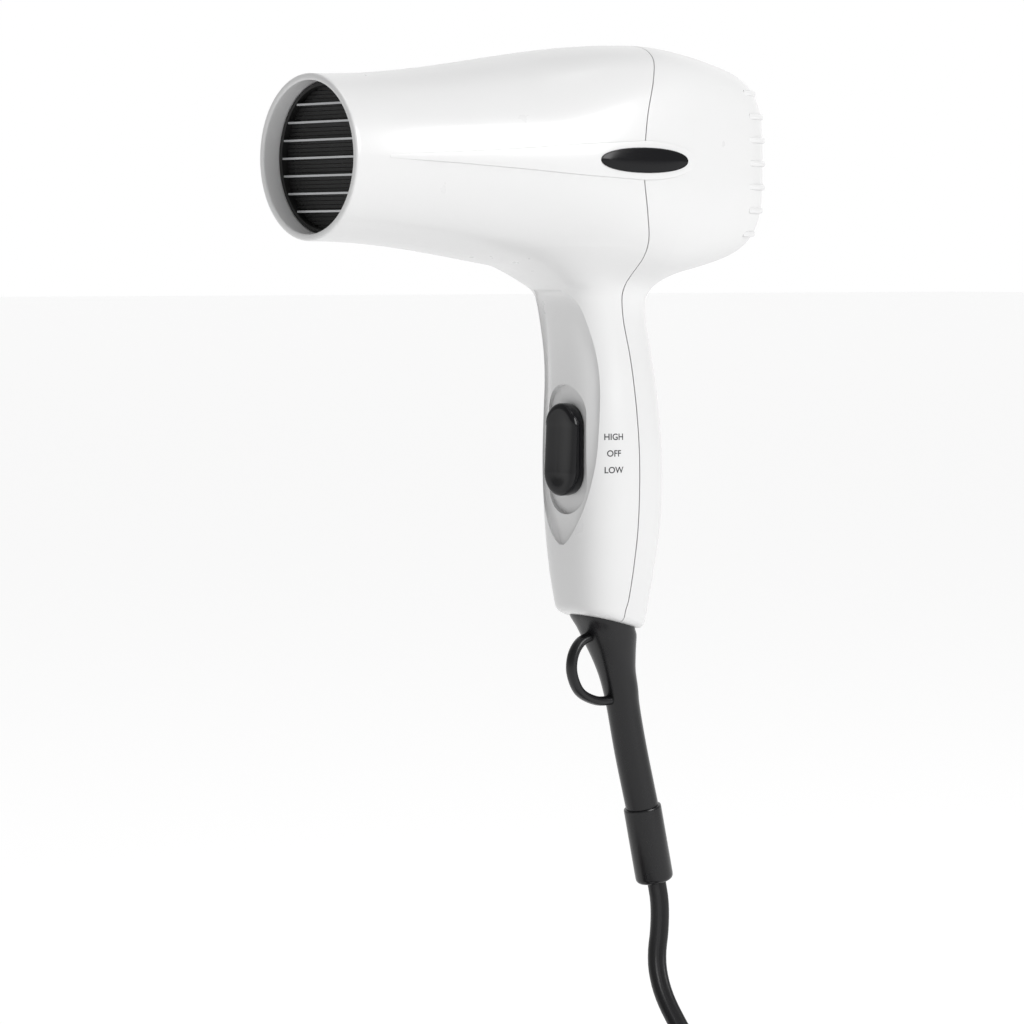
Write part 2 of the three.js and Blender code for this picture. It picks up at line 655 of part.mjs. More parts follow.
// Each supply lead spreads round the lower screw and passes the clamp. The neutral lead goes on behind the
// switch and the board to the heater, and the live one goes to the switch.
const supplyRoute = (side) => [
  [CLAMP_X, side * CLAMP_SPREAD, 9 - GRIP_LENGTH],
  [CLAMP_X, side * (CLAMP_SPREAD + 1.6), SCREW_HEIGHTS.lower],
  [CLAMP_X, side * CLAMP_SPREAD, clampZ - 4],
  [CLAMP_X, side * CLAMP_SPREAD, clampZ],
];
const behindSwitch = switchBack + 3.4;
const alongBack = (y, z) => [hollowBack(z) - 3.4, y, z];
const LEADS = {
  lead_supply_live: [...supplyRoute(-1), [CLAMP_X + 0.5, -4.2, switchLow - 6.5]],
  lead_supply_neutral: [
    ...supplyRoute(1), [CLAMP_X + 0.1, 4.1, switchLow - 8.5], [BOARD_X, 7, switchLow - 5],
    [behindSwitch - 1, 8.8, switchLow + 2.5], [behindSwitch, 9.2, KNOB_RISE],
    [behindSwitch + 0.4, 8, switchHigh - 2.5], alongBack(5.2, boardLow + 6), alongBack(5.4, boardHigh + 1.5),
    [1.5, 6.8, SCREW_HEIGHTS.upper + 1], [-12, 7, SCREW_HEIGHTS.upper + 8],
  ],
  lead_heater_live: [
    [-1, -5, switchHigh + 2 * CLEARANCE], [-1.1, -5.4, switchHigh + 3], [-2, -7, boardLow],
    [-2.6, -8.6, boardLow + 8], [-2.8, -8.8, boardHigh - 2], [-4, -7.5, SCREW_HEIGHTS.upper],
    [-12, -7, SCREW_HEIGHTS.upper + 8],
  ],
};

const lead = (name) => hose(through(LEADS[name]), LEAD_RADIUS, 2 * LEADS[name].length, 8);

function screw(name) {
  const z = SCREW_HEIGHTS[name];
  const head = gripBack(z) - 4 + CLEARANCE;
  const shank = rod("x", -11, head + 0.5, SCREW_RADIUS, 0, z, 12);
  const cap = rod("x", head, head + 1.8, SCREW_HEAD_RADIUS, 0, z, 16);
  const cross = join(
    box(head + 0.9, head + 3, -0.4, 0.4, z - 1.8, z + 1.8),
    box(head + 0.9, head + 3, -1.8, 1.8, z - 0.4, z + 0.4),
  );
  return cut(join(shank, cap), cross);
}

// ---- Strain relief, loop and collar ----
const END_SHARE = 0.7; // the grip's size at its lower end, as in GRIP_SECTIONS
const flareHalfDepth = END_SHARE * GRIP_HALF_DEPTH - WALL - CLEARANCE;
const flareHalfWidth = END_SHARE * GRIP_HALF_WIDTH - WALL - CLEARANCE;
// [height below the grip's lower end, centre fore and aft, how much of the flare is left, tilt in degrees]
const RELIEF_FLARE = [
  [-1.5, 0.2, 0.98, -GRIP_END_TILT], [0.5, 0.4, 0.98, -GRIP_END_TILT], [3.5, 2.2, 0.8, -9],
  [7.5, 3.6, 0.57, -3], [12, 5.1, 0.33, 3], [17, 6.5, 0.14, 9], [23, 8.1, 0.06, 13],
];
// [centre fore and aft, height below the grip's lower end]
const NECK = [[9.3, 29.2], [12.4, 43], [17, 60.4]];
const COLLAR_LEAN = 5.6; // how far the collar's foot is behind its top

function ringAcross(x, z, lean, halfDepth, halfWidth, count = 20) {
  return oval(halfDepth, halfWidth, 2, count).map(
    ([fore, side]) => new THREE.Vector3(x + fore * Math.cos(lean), side, z + fore * Math.sin(lean)),
  );
}

function reliefRings() {
  const grown = (share, greatest) => RELIEF_RADIUS + share * (greatest - RELIEF_RADIUS);
  const flare = RELIEF_FLARE.map(([drop, x, share, tilt]) =>
    ringAcross(
      x, -GRIP_LENGTH - drop, THREE.MathUtils.degToRad(tilt),
      grown(share, flareHalfDepth), grown(share, flareHalfWidth),
    ),
  );
  const neck = NECK.map(([x, drop]) => ringAcross(x, -GRIP_LENGTH - drop, 0.25, RELIEF_RADIUS, RELIEF_RADIUS));
  return [...flare, ...neck];
}

function strainRelief() {
  const opening = cut(grip(-WALL - CLEARANCE, true), belowGripEnd(0));
  const insert = opening.intersect(box(-40, 40, -40, 40, -GRIP_LENGTH - 20, 6 - GRIP_LENGTH));
  const body = cut(join(loft(reliefRings().reverse()), insert), rod("z", 1 - GRIP_LENGTH, 0, 7.5, 0.5, 0, 16));
  const arc = through(
    [
      [-3, 6.5], [-9, 7.5], [-12.4, 12], [-12.6, 17.5], [-9, 23.5], [-2, 26.5], [5.5, 26],
    ].map(([x, drop]) => [x, 0, -GRIP_LENGTH - drop]),
  );
  return join(body, hose(arc, LOOP_THICKNESS / 2, 14, 8));
}

const neckEnd = new THREE.Vector3(NECK.at(-1)[0], 0, -GRIP_LENGTH - NECK.at(-1)[1]);
const collarWay = new THREE.Vector3(COLLAR_LEAN, 0, -COLLAR_LENGTH).normalize();
const collarTop = neckEnd.clone().addScaledVector(collarWay, CLEARANCE + 0.1);
const collarFoot = collarTop.clone().addScaledVector(collarWay, COLLAR_LENGTH);

function collar() {
  const straight = new THREE.LineCurve3(collarTop, collarFoot);
  return hose(straight, COLLAR_RADIUS, 2, 24);
}

// ---- Cord, coil, tie and plug ----
const coilCentre = [collarFoot.x - COIL_MEAN_RADIUS, -28];
const coilLow = FLOOR_Z + TIE_THICKNESS + CLEARANCE;
const coilTop = coilLow + bundleSize;
const cordStart = collarFoot.clone().addScaledVector(collarWay, CLEARANCE);

// The hanging stretch, from the collar down to the coil's top turn.
const CORD_POINTS = [
  [22.8, 0, -139.5], [23.6, 0, -144], [24, 0, -150], [23.8, 0, -157], [23.4, 0, -162], [23.1, -1.3, -168],
  [23, -4.4, -175], [23, -9.5, -182], [23, -16.5, -188.5], [23, -24, -192.3], [23, -31, -194.4],
];

function coilRing(grow) {
  const inner = COIL_MEAN_RADIUS - bundleSize / 2 - grow;
  const outer = COIL_MEAN_RADIUS + bundleSize / 2 + grow;
  const edge = 3;
  const [low, high] = [coilLow - grow, coilTop + grow];
  const profile = [
    [inner, low + edge], [inner + edge, low], [outer - edge, low], [outer, low + edge], [outer, high - edge],
    [outer - edge, high], [inner + edge, high], [inner, high - edge], [inner, low + edge],
  ];
  const geometry = new THREE.LatheGeometry(profile.map(([r, z]) => new THREE.Vector2(r, z)), 24);
  const made = solid(geometry.rotateX(Math.PI / 2).translate(coilCentre[0], coilCentre[1], 0));
  return made.volume() < 0 ? solid(flipped(geometry)) : made;
}

// The plug lies beside the coil with its pins towards +Y. PLUG_PLACE is where its relief takes the lead in.
const PLUG_PLACE = [coilCentre[0] - COIL_MEAN_RADIUS - bundleSize / 2 - PLUG_WIDTH / 2 - 4, -26];
const PLUG_RELIEF_LENGTH = 22;

// The stretch from the coil's lowest outer turn to the plug.
function tailPoints() {
  const low = coilLow + CORD_DIAMETER / 2;
  const [x, y] = coilCentre;
  const [plugX, plugY] = PLUG_PLACE;
  const turn = COIL_MEAN_RADIUS + bundleSize / 2 - CORD_DIAMETER / 2;
  return [
    [x - 4, y - turn, low], [x - 16, y - turn + 1, low], [x - 29, y - turn + 4.5, low],
    [plugX + 21, y - turn + 10, low + 1], [plugX + 9, plugY - 25, low + 3.5], [plugX + 2, plugY - 13, low + 7],
    [plugX, plugY - 5, FLOOR_Z + PLUG_HEIGHT / 2 - 0.5],
    [plugX, plugY - 2 * CLEARANCE, FLOOR_Z + PLUG_HEIGHT / 2],
  ];
}

const powerCord = () =>
  cut(
    hose(through([cordStart.toArray(), ...CORD_POINTS.slice(1)]), CORD_DIAMETER / 2, 16, 10),
    coilRing(CLEARANCE),
    box(-60, 90, -120, 60, FLOOR_Z - 40, coilTop + CLEARANCE),
  );

const plugLead = () => cut(hose(through(tailPoints()), CORD_DIAMETER / 2, 14, 10), coilRing(CLEARANCE));

function coilTie() {
  const half = bundleSize / 2 + CLEARANCE;
  const middle = coilCentre[1] + COIL_MEAN_RADIUS;
  const low = coilLow - CLEARANCE;
  const high = coilTop + CLEARANCE;
  const outer = box(
    coilCentre[0] - TIE_WIDTH / 2, coilCentre[0] + TIE_WIDTH / 2,
    middle - half - 1.2 - TIE_THICKNESS, middle + half + TIE_THICKNESS,
    low - TIE_THICKNESS, high + TIE_THICKNESS,
  );
  const inner = box(
    coilCentre[0] - TIE_WIDTH, coilCentre[0] + TIE_WIDTH, middle - half - 1.2, middle + half, low, high,
  );
  return cut(outer, inner);
}

// The plug in its own frame: the lead enters at the origin and the pins point towards +X.
const plugBack = PLUG_RELIEF_LENGTH;
const plugFront = plugBack + PLUG_LENGTH;
const plugTop = PLUG_HEIGHT / 2;
const WELL_LENGTH = 9;
const WELL_WIDTH = 13;
const WELL_DEPTH = 4;
const BUTTONS = { reset_button: plugBack + 18, test_button: plugBack + 31 };

const ringAlong = (x, halfWide, halfTall, squareness, count) =>
  oval(halfWide, halfTall, squareness, count).map(([y, z]) => new THREE.Vector3(x, y, z));

const block = (x, y, length, width, low, high) =>
  box(x - length / 2, x + length / 2, y - width / 2, y + width / 2, low, high);

function plugBody() {
  const sizes = [[0, 0.68], [3, 0.9], [10, 1], [PLUG_LENGTH - 3, 1], [PLUG_LENGTH, 0.97]];
  const rings = sizes.map(([along, share]) =>
    ringAlong(plugBack + along, (PLUG_WIDTH / 2) * share, (PLUG_HEIGHT / 2) * share, 5, 20),
  );
  const wells = Object.values(BUTTONS).map((x) =>
    block(x, 0, WELL_LENGTH, WELL_WIDTH, plugTop - WELL_DEPTH, plugTop + 9),
  );
  const slots = [-1, 1].map((side) =>
    block(plugFront, (side * PIN_SPACING) / 2, 10, 1.6 + 2 * CLEARANCE, -3.2 - CLEARANCE, 3.2 + CLEARANCE),
  );
  return cut(loft(rings), ...wells, ...slots);
}

const button = (x) =>
  block(
    x, 0, WELL_LENGTH - 2 * CLEARANCE, WELL_WIDTH - 2 * CLEARANCE,
    plugTop - WELL_DEPTH + CLEARANCE + BUTTON_TRAVEL, plugTop + BUTTON_TRAVEL - 0.4,
  );

function plugRelief() {
  const sizes = [[0, 4.1], [8, 4.8], [16, 6], [PLUG_RELIEF_LENGTH - CLEARANCE, 6.6]];
  return loft(sizes.map(([x, radius]) => ringAlong(x, radius, radius, 2, 14)));
}

const plugPin = (side) =>
  box(
    plugFront - 4.5, plugFront + PIN_LENGTH, (side * PIN_SPACING) / 2 - 0.8, (side * PIN_SPACING) / 2 + 0.8,
    -3.2, 3.2,
  );

// ---- Finishes ----
function finish(color, roughness, metalness = 0) {
  return new THREE.MeshStandardMaterial({ color, roughness, metalness });
}

const white = finish(0xf2f2f0, 0.3);
const black = finish(0x141414, 0.35);
const darkHeatproof = finish(0x26262a, 0.6);
const mica = finish(0xb9a27c, 0.6);
const heaterWire = finish(0x8d8a86, 0.4, 1);
const steel = finish(0xb4b6ba, 0.3, 1);
const brass = finish(0xc9a24a, 0.3, 1);
const rubber = finish(0x17181a, 0.5);
const circuit = finish(0x3b5a34, 0.6);
const amber = finish(0xb4551f, 0.4);
const red = finish(0xa11d1d, 0.45);

// ---- Assembly ----
const dryer = new THREE.Group();
dryer.name = "hair_dryer";

function add(name, body, material, group = dryer) {
  const mesh = new THREE.Mesh(geometryOf(body), material);
  mesh.name = name;
  group.add(mesh);
}

const housing = shell();
add("front_housing", housing.intersect(frontSide()), white);
add("rear_housing", cut(join(housing.intersect(rearSide()), intakeRibs()), intakeSlots()), white);
add("badge_left", badge("left"), black);
add("badge_right", badge("right"), black);
add("screw_upper", screw("upper"), steel);
add("screw_lower", screw("lower"), steel);

add("outlet_grille", outletGrille(), darkHeatproof);
add("mica_sleeve", tube(heaterX, heaterEnd, sleeveOuter, sleeveInner, 28), mica);
add("mica_board_vertical", board(true), mica);
add("mica_board_horizontal", board(false), mica);
for (let i = 0; i < COIL_COUNT; i++) add(`heater_coil_${i + 1}`, heaterCoil(i), heaterWire);
const besideBoard = BOARD_THICKNESS / 2 + CLEARANCE;
add("thermostat", box(heaterEnd - 9, heaterEnd - 1, 5, 13, BARREL_RISE + besideBoard, BARREL_RISE + 6), brass);
add("thermal_fuse", rod("x", heaterEnd - 9, heaterEnd - 1, 2, -9, BARREL_RISE + besideBoard + 2, 12), steel);

add("fan_duct", fanDuct(), darkHeatproof);
add("motor_can", tube(motorX, motorEnd, MOTOR_RADIUS, SHAFT_RADIUS + CLEARANCE), steel);
const capLength = 4;
add(
  "motor_cap",
  tube(motorX - CLEARANCE - capLength, motorX - CLEARANCE, MOTOR_RADIUS - 1, SHAFT_RADIUS + CLEARANCE),
  darkHeatproof,
);
add("motor_shaft", rod("x", motorX - 4, fanX + FAN_LENGTH - 3, SHAFT_RADIUS, 0, BARREL_RISE, 16), steel);
add("fan", fan(), darkHeatproof);
add("lint_screen", lintScreen(), black);

add("switch_knob", knob(), black);
add("switch_slider", slider(), amber);
add("switch_body", switchBody(), black);
add("rectifier_board", rectifierBoard(), circuit);
for (let i = 0; i < 4; i++) add(`diode_${i + 1}`, diode(i), black);
add("filter_capacitor", capacitor(), amber);
add("cord_clamp", cordClamp(), black);
for (const name of Object.keys(LEADS)) add(name, lead(name), black);

add("strain_relief", strainRelief(), rubber);
add("relief_collar", collar(), rubber);
add("power_cord", powerCord(), rubber);
add("cord_coil", coilRing(0), rubber);
add("coil_tie", coilTie(), black);
add("plug_lead", plugLead(), rubber);

const plug = new THREE.Group();
plug.position.set(...PLUG_PLACE, FLOOR_Z + PLUG_HEIGHT / 2);
plug.rotation.z = Math.PI / 2;
dryer.add(plug);
add("plug_relief", plugRelief(), rubber, plug);
add("plug_body", plugBody(), rubber, plug);
add("pin_neutral", plugPin(-1), brass, plug);
add("pin_live", plugPin(1), brass, plug);
add("test_button", button(BUTTONS.test_button), black, plug);
add("reset_button", button(BUTTONS.reset_button), red, plug);

export default dryer;
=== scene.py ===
"""A household hair dryer: white two-part housing, bladed air outlet, slide switch, relief with a loop, and cord.

Lengths in the sections are in millimetres, in the part's own frame: +Z up the grip, mouth towards -X.
"""

import math

import bmesh
import bpy
import numpy as np
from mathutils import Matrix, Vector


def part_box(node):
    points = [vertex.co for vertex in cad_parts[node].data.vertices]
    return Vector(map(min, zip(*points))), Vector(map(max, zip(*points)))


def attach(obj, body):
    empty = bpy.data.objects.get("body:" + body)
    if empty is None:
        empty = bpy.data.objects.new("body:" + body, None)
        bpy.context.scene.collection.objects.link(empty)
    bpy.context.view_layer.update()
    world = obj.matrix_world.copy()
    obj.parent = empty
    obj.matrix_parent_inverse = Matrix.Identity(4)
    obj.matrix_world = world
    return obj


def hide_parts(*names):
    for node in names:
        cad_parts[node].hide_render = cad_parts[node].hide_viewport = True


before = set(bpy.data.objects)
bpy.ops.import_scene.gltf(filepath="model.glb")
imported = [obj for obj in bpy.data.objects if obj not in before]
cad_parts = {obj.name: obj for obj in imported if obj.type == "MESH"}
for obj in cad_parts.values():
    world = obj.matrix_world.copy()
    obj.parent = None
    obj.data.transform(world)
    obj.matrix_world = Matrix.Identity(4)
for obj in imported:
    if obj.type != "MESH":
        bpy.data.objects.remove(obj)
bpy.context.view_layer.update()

# ---- Camera ----
# It stands 1.27 m away, level with the upper grip, and looks slightly down on the mouth's side of the dryer.
camera_data = bpy.data.cameras.new("camera")
camera_data.lens = 140.6
camera = bpy.data.objects.new("camera", camera_data)
camera.location = (-0.8113, -0.9742, 0.0584)
camera.rotation_euler = (math.radians(86.49), 0, math.radians(-38.5))
bpy.context.scene.collection.objects.link(camera)
bpy.context.scene.camera = camera

# ---- Cord ----
# Two stranded copper cores lie side by side in one extruded vinyl jacket with a groove along each flat side.
# It hangs from the collar, is wound in a storage coil of eight turns in three layers, and ends in the plug.
CORD_WIDTH = 6.0
CORD_HALF_THICKNESS = 2.55
COLLAR_FOOT = np.array([22.9, 0.0, -138.2])
FLOOR_Z = -212.0
COIL_CENTRE = np.array([-11.4, -28.0])
LOWEST_LAYER = -207.7
TURN_PITCH = 6.0
INNER_TURN = 28.0
HANGING = [
    [23.5, 0, -141], [24.4, 0, -145.5], [24.7, 0, -150.5], [24.4, 0, -156.5], [23.6, 0, -162.5],
    [22.8, -1.3, -168.5], [22.4, -4.4, -175.2], [22.4, -9.5, -182], [22.6, -16.5, -188.4],
]
TO_PLUG = [
    [-27.4, -67.5, -207.7], [-40.4, -64, -207.7], [-54.9, -58.5, -206.7], [-66.9, -51, -204.2],
    [-73.9, -39, -200.7], [-75.9, -31, -199.5], [-75.9, -26.6, -199],
]
# Each turn's place in the bundle, as (column from the inside, layer from the floor).
BUNDLE = [(1, 2), (0, 2), (0, 1), (0, 0), (1, 0), (1, 1), (2, 1), (2, 0)]
FIRST_TURN, NEXT_TURNS, LAST_TURN = 330.0, 330.0, 300.0
CROSSING = 55.0  # degrees over which a turn moves to its next place


def ease(t):
    t = np.clip(t, 0, 1)
    return t * t * (3 - 2 * t)


def coil_points(step=6.0):
    """The wound stretch, clockwise from above, from the side below the collar to the side of the plug."""
    leaves = [FIRST_TURN + NEXT_TURNS * i for i in range(len(BUNDLE) - 1)]
    total = leaves[-1] + LAST_TURN
    points = []
    for angle in np.arange(step, total, step):
        column, layer = BUNDLE[0]
        for left, (to_column, to_layer) in zip(leaves, BUNDLE[1:]):
            share = ease((angle - (left - CROSSING)) / CROSSING)
            column += (to_column - column) * share
            layer += (to_layer - layer) * share
        radius = INNER_TURN + TURN_PITCH * column
        turned = math.radians(-angle)
        height = LOWEST_LAYER + TURN_PITCH * layer + 3.2 * (1 - ease(angle / 34)) ** 2
        points.append([
            COIL_CENTRE[0] + radius * math.cos(turned), COIL_CENTRE[1] + radius * math.sin(turned), height,
        ])
    return points


def smooth_line(points, spacing):
    """A Catmull-Rom curve through the points, resampled at an even spacing."""
    points = np.array(points, float)
    padded = np.vstack([2 * points[0] - points[1], points, 2 * points[-1] - points[-2]])
    dense = []
    for a, b, c, d in zip(padded, padded[1:], padded[2:], padded[3:]):
        for t in np.linspace(0, 1, 9)[:-1]:
            dense.append(
                0.5 * (2 * b + (c - a) * t + (2 * a - 5 * b + 4 * c - d) * t**2 + (3 * b - a - 3 * c + d) * t**3)
            )
    dense = np.array([*dense, points[-1]])
    along = np.concatenate([[0], np.cumsum(np.linalg.norm(np.diff(dense, axis=0), axis=1))])
    at = np.linspace(0, along[-1], max(2, round(along[-1] / spacing)) + 1)
    return np.stack([np.interp(at, along, dense[:, k]) for k in range(points.shape[1])], axis=1)


def unit(v):
    return v / np.maximum(np.linalg.norm(v, axis=-1, keepdims=True), 1e-12)


def sweep(line, section, side):
    """Rings of an (across, up) section carried along a line without twisting. side is its first across way."""
    ways = unit(np.gradient(line, axis=0))
    side = np.array(side, float)
    rings = []
    for centre, way in zip(line, ways):
        side = unit(side - way * (side @ way))
        rings.append(centre + section[:, :1] * side + section[:, 1:] * np.cross(way, side))
    return np.array(rings)


def loft(rings, caps=True):
    """Points and faces of a skin over rings of equal point count, closed at both ends unless told not to."""
    count, sides = rings.shape[:2]
    at = np.arange(count * sides).reshape(count, sides)
    after = np.roll(at, -1, axis=1)
    faces = np.stack([at[:-1], after[:-1], after[1:], at[1:]], axis=-1).reshape(-1, 4).tolist()
    if caps:
        faces += [at[0, ::-1].tolist(), at[-1].tolist()]
    return rings.reshape(-1, 3), faces


def piece(name, points, faces, material, slot, body="housing", replaced=(), crease=35, recalculate=True):
    """A finished piece from points in millimetres, with smooth faces that break at edges over the crease angle."""
    mesh = bpy.data.meshes.new(name)
    mesh.from_pydata((np.asarray(points) * 0.001).tolist(), [], faces)
    if recalculate:
        shape = bmesh.new()
        shape.from_mesh(mesh)
        bmesh.ops.remove_doubles(shape, verts=shape.verts, dist=1e-6)
        bmesh.ops.recalc_face_normals(shape, faces=shape.faces)
        shape.to_mesh(mesh)
        shape.free()
    mesh.shade_smooth()
    mesh.set_sharp_from_angle(angle=math.radians(crease))
    mesh.materials.append(material)
    made = bpy.data.objects.new(name, mesh)
    bpy.context.scene.collection.objects.link(made)
    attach(made, body)
    if replaced:
        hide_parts(*replaced)
    return made


def moulded(
    name, colour, roughness, grain=0.15, depth=0.01, mottle=0.03, spread=0.06, metallic=0.0, coat=0.0, specular=0.5,
):
    """A finish with fine grain in its surface, faint clouds in its colour and uneven gloss. Grain is in mm."""
    material = bpy.data.materials.new(name)
    material.use_nodes = True
    nodes, links = material.node_tree.nodes, material.node_tree.links
    shader = nodes["Principled BSDF"]
    shader.inputs["Metallic"].default_value = metallic
    shader.inputs["Coat Weight"].default_value = coat
    shader.inputs["Specular IOR Level"].default_value = specular
    shader.inputs["Coat Roughness"].default_value = 0.12
    place = nodes.new("ShaderNodeTexCoord")
    fine, clouds = nodes.new("ShaderNodeTexNoise"), nodes.new("ShaderNodeTexNoise")
    fine.inputs["Scale"].default_value = 1000 / grain / 4
    fine.inputs["Detail"].default_value = 3
    clouds.inputs["Scale"].default_value = 90
    clouds.inputs["Detail"].default_value = 4
    for noise in (fine, clouds):
        links.new(place.outputs["Object"], noise.inputs["Vector"])
    tint = nodes.new("ShaderNodeMix")
    tint.data_type = "RGBA"
    tint.inputs["A"].default_value = (*[c * (1 - mottle) for c in colour], 1)
    tint.inputs["B"].default_value = (*[min(1, c * (1 + mottle)) for c in colour], 1)
    links.new(clouds.outputs["Fac"], tint.inputs["Factor"])
    links.new(tint.outputs["Result"], shader.inputs["Base Color"])
    gloss = nodes.new("ShaderNodeMapRange")
    gloss.inputs["To Min"].default_value = max(0, roughness - spread)
    gloss.inputs["To Max"].default_value = roughness + spread
    links.new(clouds.outputs["Fac"], gloss.inputs["Value"])
    links.new(gloss.outputs["Result"], shader.inputs["Roughness"])
    bump = nodes.new("ShaderNodeBump")
    bump.inputs["Distance"].default_value = depth * 0.001
    bump.inputs["Strength"].default_value = 0.6
    links.new(fine.outputs["Fac"], bump.inputs["Height"])
    links.new(bump.outputs["Normal"], shader.inputs["Normal"])
    return material


vinyl = moulded("soft_vinyl", (0.009, 0.009, 0.01), 0.42, grain=0.3, depth=0.03, specular=0.35)
cord_line = smooth_line([COLLAR_FOOT, *HANGING, *coil_points(), *TO_PLUG], 2.2)
turn = np.linspace(0, 2 * math.pi, 32, endpoint=False)
groove = 0.75 * np.exp(-((np.abs(np.cos(turn)) / 0.3) ** 2))
cord_section = np.stack([
    CORD_WIDTH / 2 * np.sign(np.cos(turn)) * np.abs(np.cos(turn)) ** 0.92,
    (CORD_HALF_THICKNESS - groove) * np.sign(np.sin(turn)) * np.abs(np.sin(turn)) ** 0.85,
], axis=1)
cord = piece(
    "mains_cord", *loft(sweep(cord_line, cord_section, (0.94, -0.35, 0))), vinyl, "soft_black",
    replaced=("power_cord", "cord_coil", "plug_lead"),
)

# ---- Plug ----
# A moulded safety plug: vinyl-clad body in two halves with grip ridges on its sides, a finned relief where
# the cord enters, two flat brass pins, and a test and a reset button that travel in wells on its top.
satin_black = moulded("satin_black", (0.006, 0.006, 0.007), 0.28, grain=0.25, depth=0.015, specular=0.4)


def middle(node):
    low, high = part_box(node)
    return np.array((low + high) / 2) * 1000, np.array(high - low) * 1000


def superellipse(half_across, half_up, squareness, count, phase=0.5):
    angle = (np.arange(count) + phase) * 2 * math.pi / count
    c, s = np.cos(angle), np.sin(angle)
    return np.stack([
        half_across * np.sign(c) * np.abs(c) ** (2 / squareness),
        half_up * np.sign(s) * np.abs(s) ** (2 / squareness),
    ], axis=1)


plug_middle, plug_size = middle("plug_body")
plug_back = plug_middle[1] - plug_size[1] / 2
EDGE = 2.2
plug_rings = []
for along, share in [
    (0, 0.60), (0.2, 0.655), (1, 0.70), (3, 0.84), (6, 0.945), (9, 0.985), (12, 1), (22.4, 1), (22.7, 0.985),
    (23.3, 0.985), (23.6, 1), (plug_size[1] - EDGE, 1), (plug_size[1] - 0.9, 0.985),
    (plug_size[1] - 0.25, 0.955), (plug_size[1], 0.92),
]:
    flat = superellipse(plug_size[0] / 2 * share, plug_size[2] / 2 * share, 5, 72)
    plug_rings.append(np.stack([
        plug_middle[0] + flat[:, 0], np.full(len(flat), plug_back + along), plug_middle[2] + flat[:, 1],
    ], axis=1))


def box_points(low, high):
    corners = np.array([[x, y, z] for x in (low[0], high[0]) for y in (low[1], high[1]) for z in (low[2], high[2])])
    faces = [[0, 1, 3, 2], [4, 6, 7, 5], [0, 4, 5, 1], [2, 3, 7, 6], [0, 2, 6, 4], [1, 5, 7, 3]]
    return corners, faces


def scratch(points, faces):
    """A throwaway object that a cut uses."""
    mesh = bpy.data.meshes.new("cutter")
    mesh.from_pydata((np.asarray(points) * 0.001).tolist(), [], faces)
    shape = bmesh.new()
    shape.from_mesh(mesh)
    bmesh.ops.recalc_face_normals(shape, faces=shape.faces)
    shape.to_mesh(mesh)
    shape.free()
    made = bpy.data.objects.new("cutter", mesh)
    bpy.context.scene.collection.objects.link(made)
    return made


def cut(made, tools):
    """Takes each tool, a (points, faces) pair, out of a piece."""
    for tool in tools:
        cutter = scratch(*tool)
        difference = made.modifiers.new("cut", "BOOLEAN")
        difference.operation = "DIFFERENCE"
        difference.solver = "MANIFOLD"
        difference.object = cutter
        result = bpy.data.meshes.new_from_object(made.evaluated_get(bpy.context.evaluated_depsgraph_get()))
        made.modifiers.clear()
        made.data = result
        bpy.data.objects.remove(cutter)
    made.data.set_sharp_from_angle(angle=math.radians(35))


def rounded(made, width, segments=3, angle=40):
    """A small radius on a piece's sharp edges."""
    bevel = made.modifiers.new("edge radius", "BEVEL")
    bevel.width = width * 0.001
    bevel.segments = segments
    bevel.limit_method = "ANGLE"
    bevel.angle_limit = math.radians(angle)
    return made


plug = piece("plug_shell", *loft(np.array(plug_rings)), satin_black, "black_plastic", replaced=("plug_body",))
wells = []
for button in ("test_button", "reset_button"):
    at, size = middle(button)
    half = size / 2 + 0.35
    top = plug_middle[2] + plug_size[2]
    wells.append(box_points([at[0] - half[0], at[1] - half[1], at[2] - half[2] - 1.4], [*(at[:2] + half[:2]), top]))
for pin in ("pin_live", "pin_neutral"):
    at, size = middle(pin)
    half = size / 2 + 0.3
    wells.append(box_points(at - half, [at[0] + half[0], at[1] + 30, at[2] + half[2]]))
for side in (-1, 1):
    for row in range(7):
        y = plug_back + 26 + 2.4 * row
        x = plug_middle[0] + side * plug_size[0] / 2
        wells.append(box_points([x - 0.55, y, plug_middle[2] - 7], [x + 0.55, y + 1.1, plug_middle[2] + 7]))
cut(plug, wells)

button_blue = moulded("button_blue", (0.05, 0.1, 0.35), 0.4)
button_red = moulded("button_red", (0.5, 0.035, 0.03), 0.4)
for node, colour, slot in (
    ("test_button", button_blue, "test_blue"), ("reset_button", button_red, "reset_red"),
):
    at, size = middle(node)
    key = piece(
        f"{node}_key", *box_points(at - size / 2, at + size / 2), colour, slot, body=node, replaced=(node,),
    )
    rounded(key, 0.7)

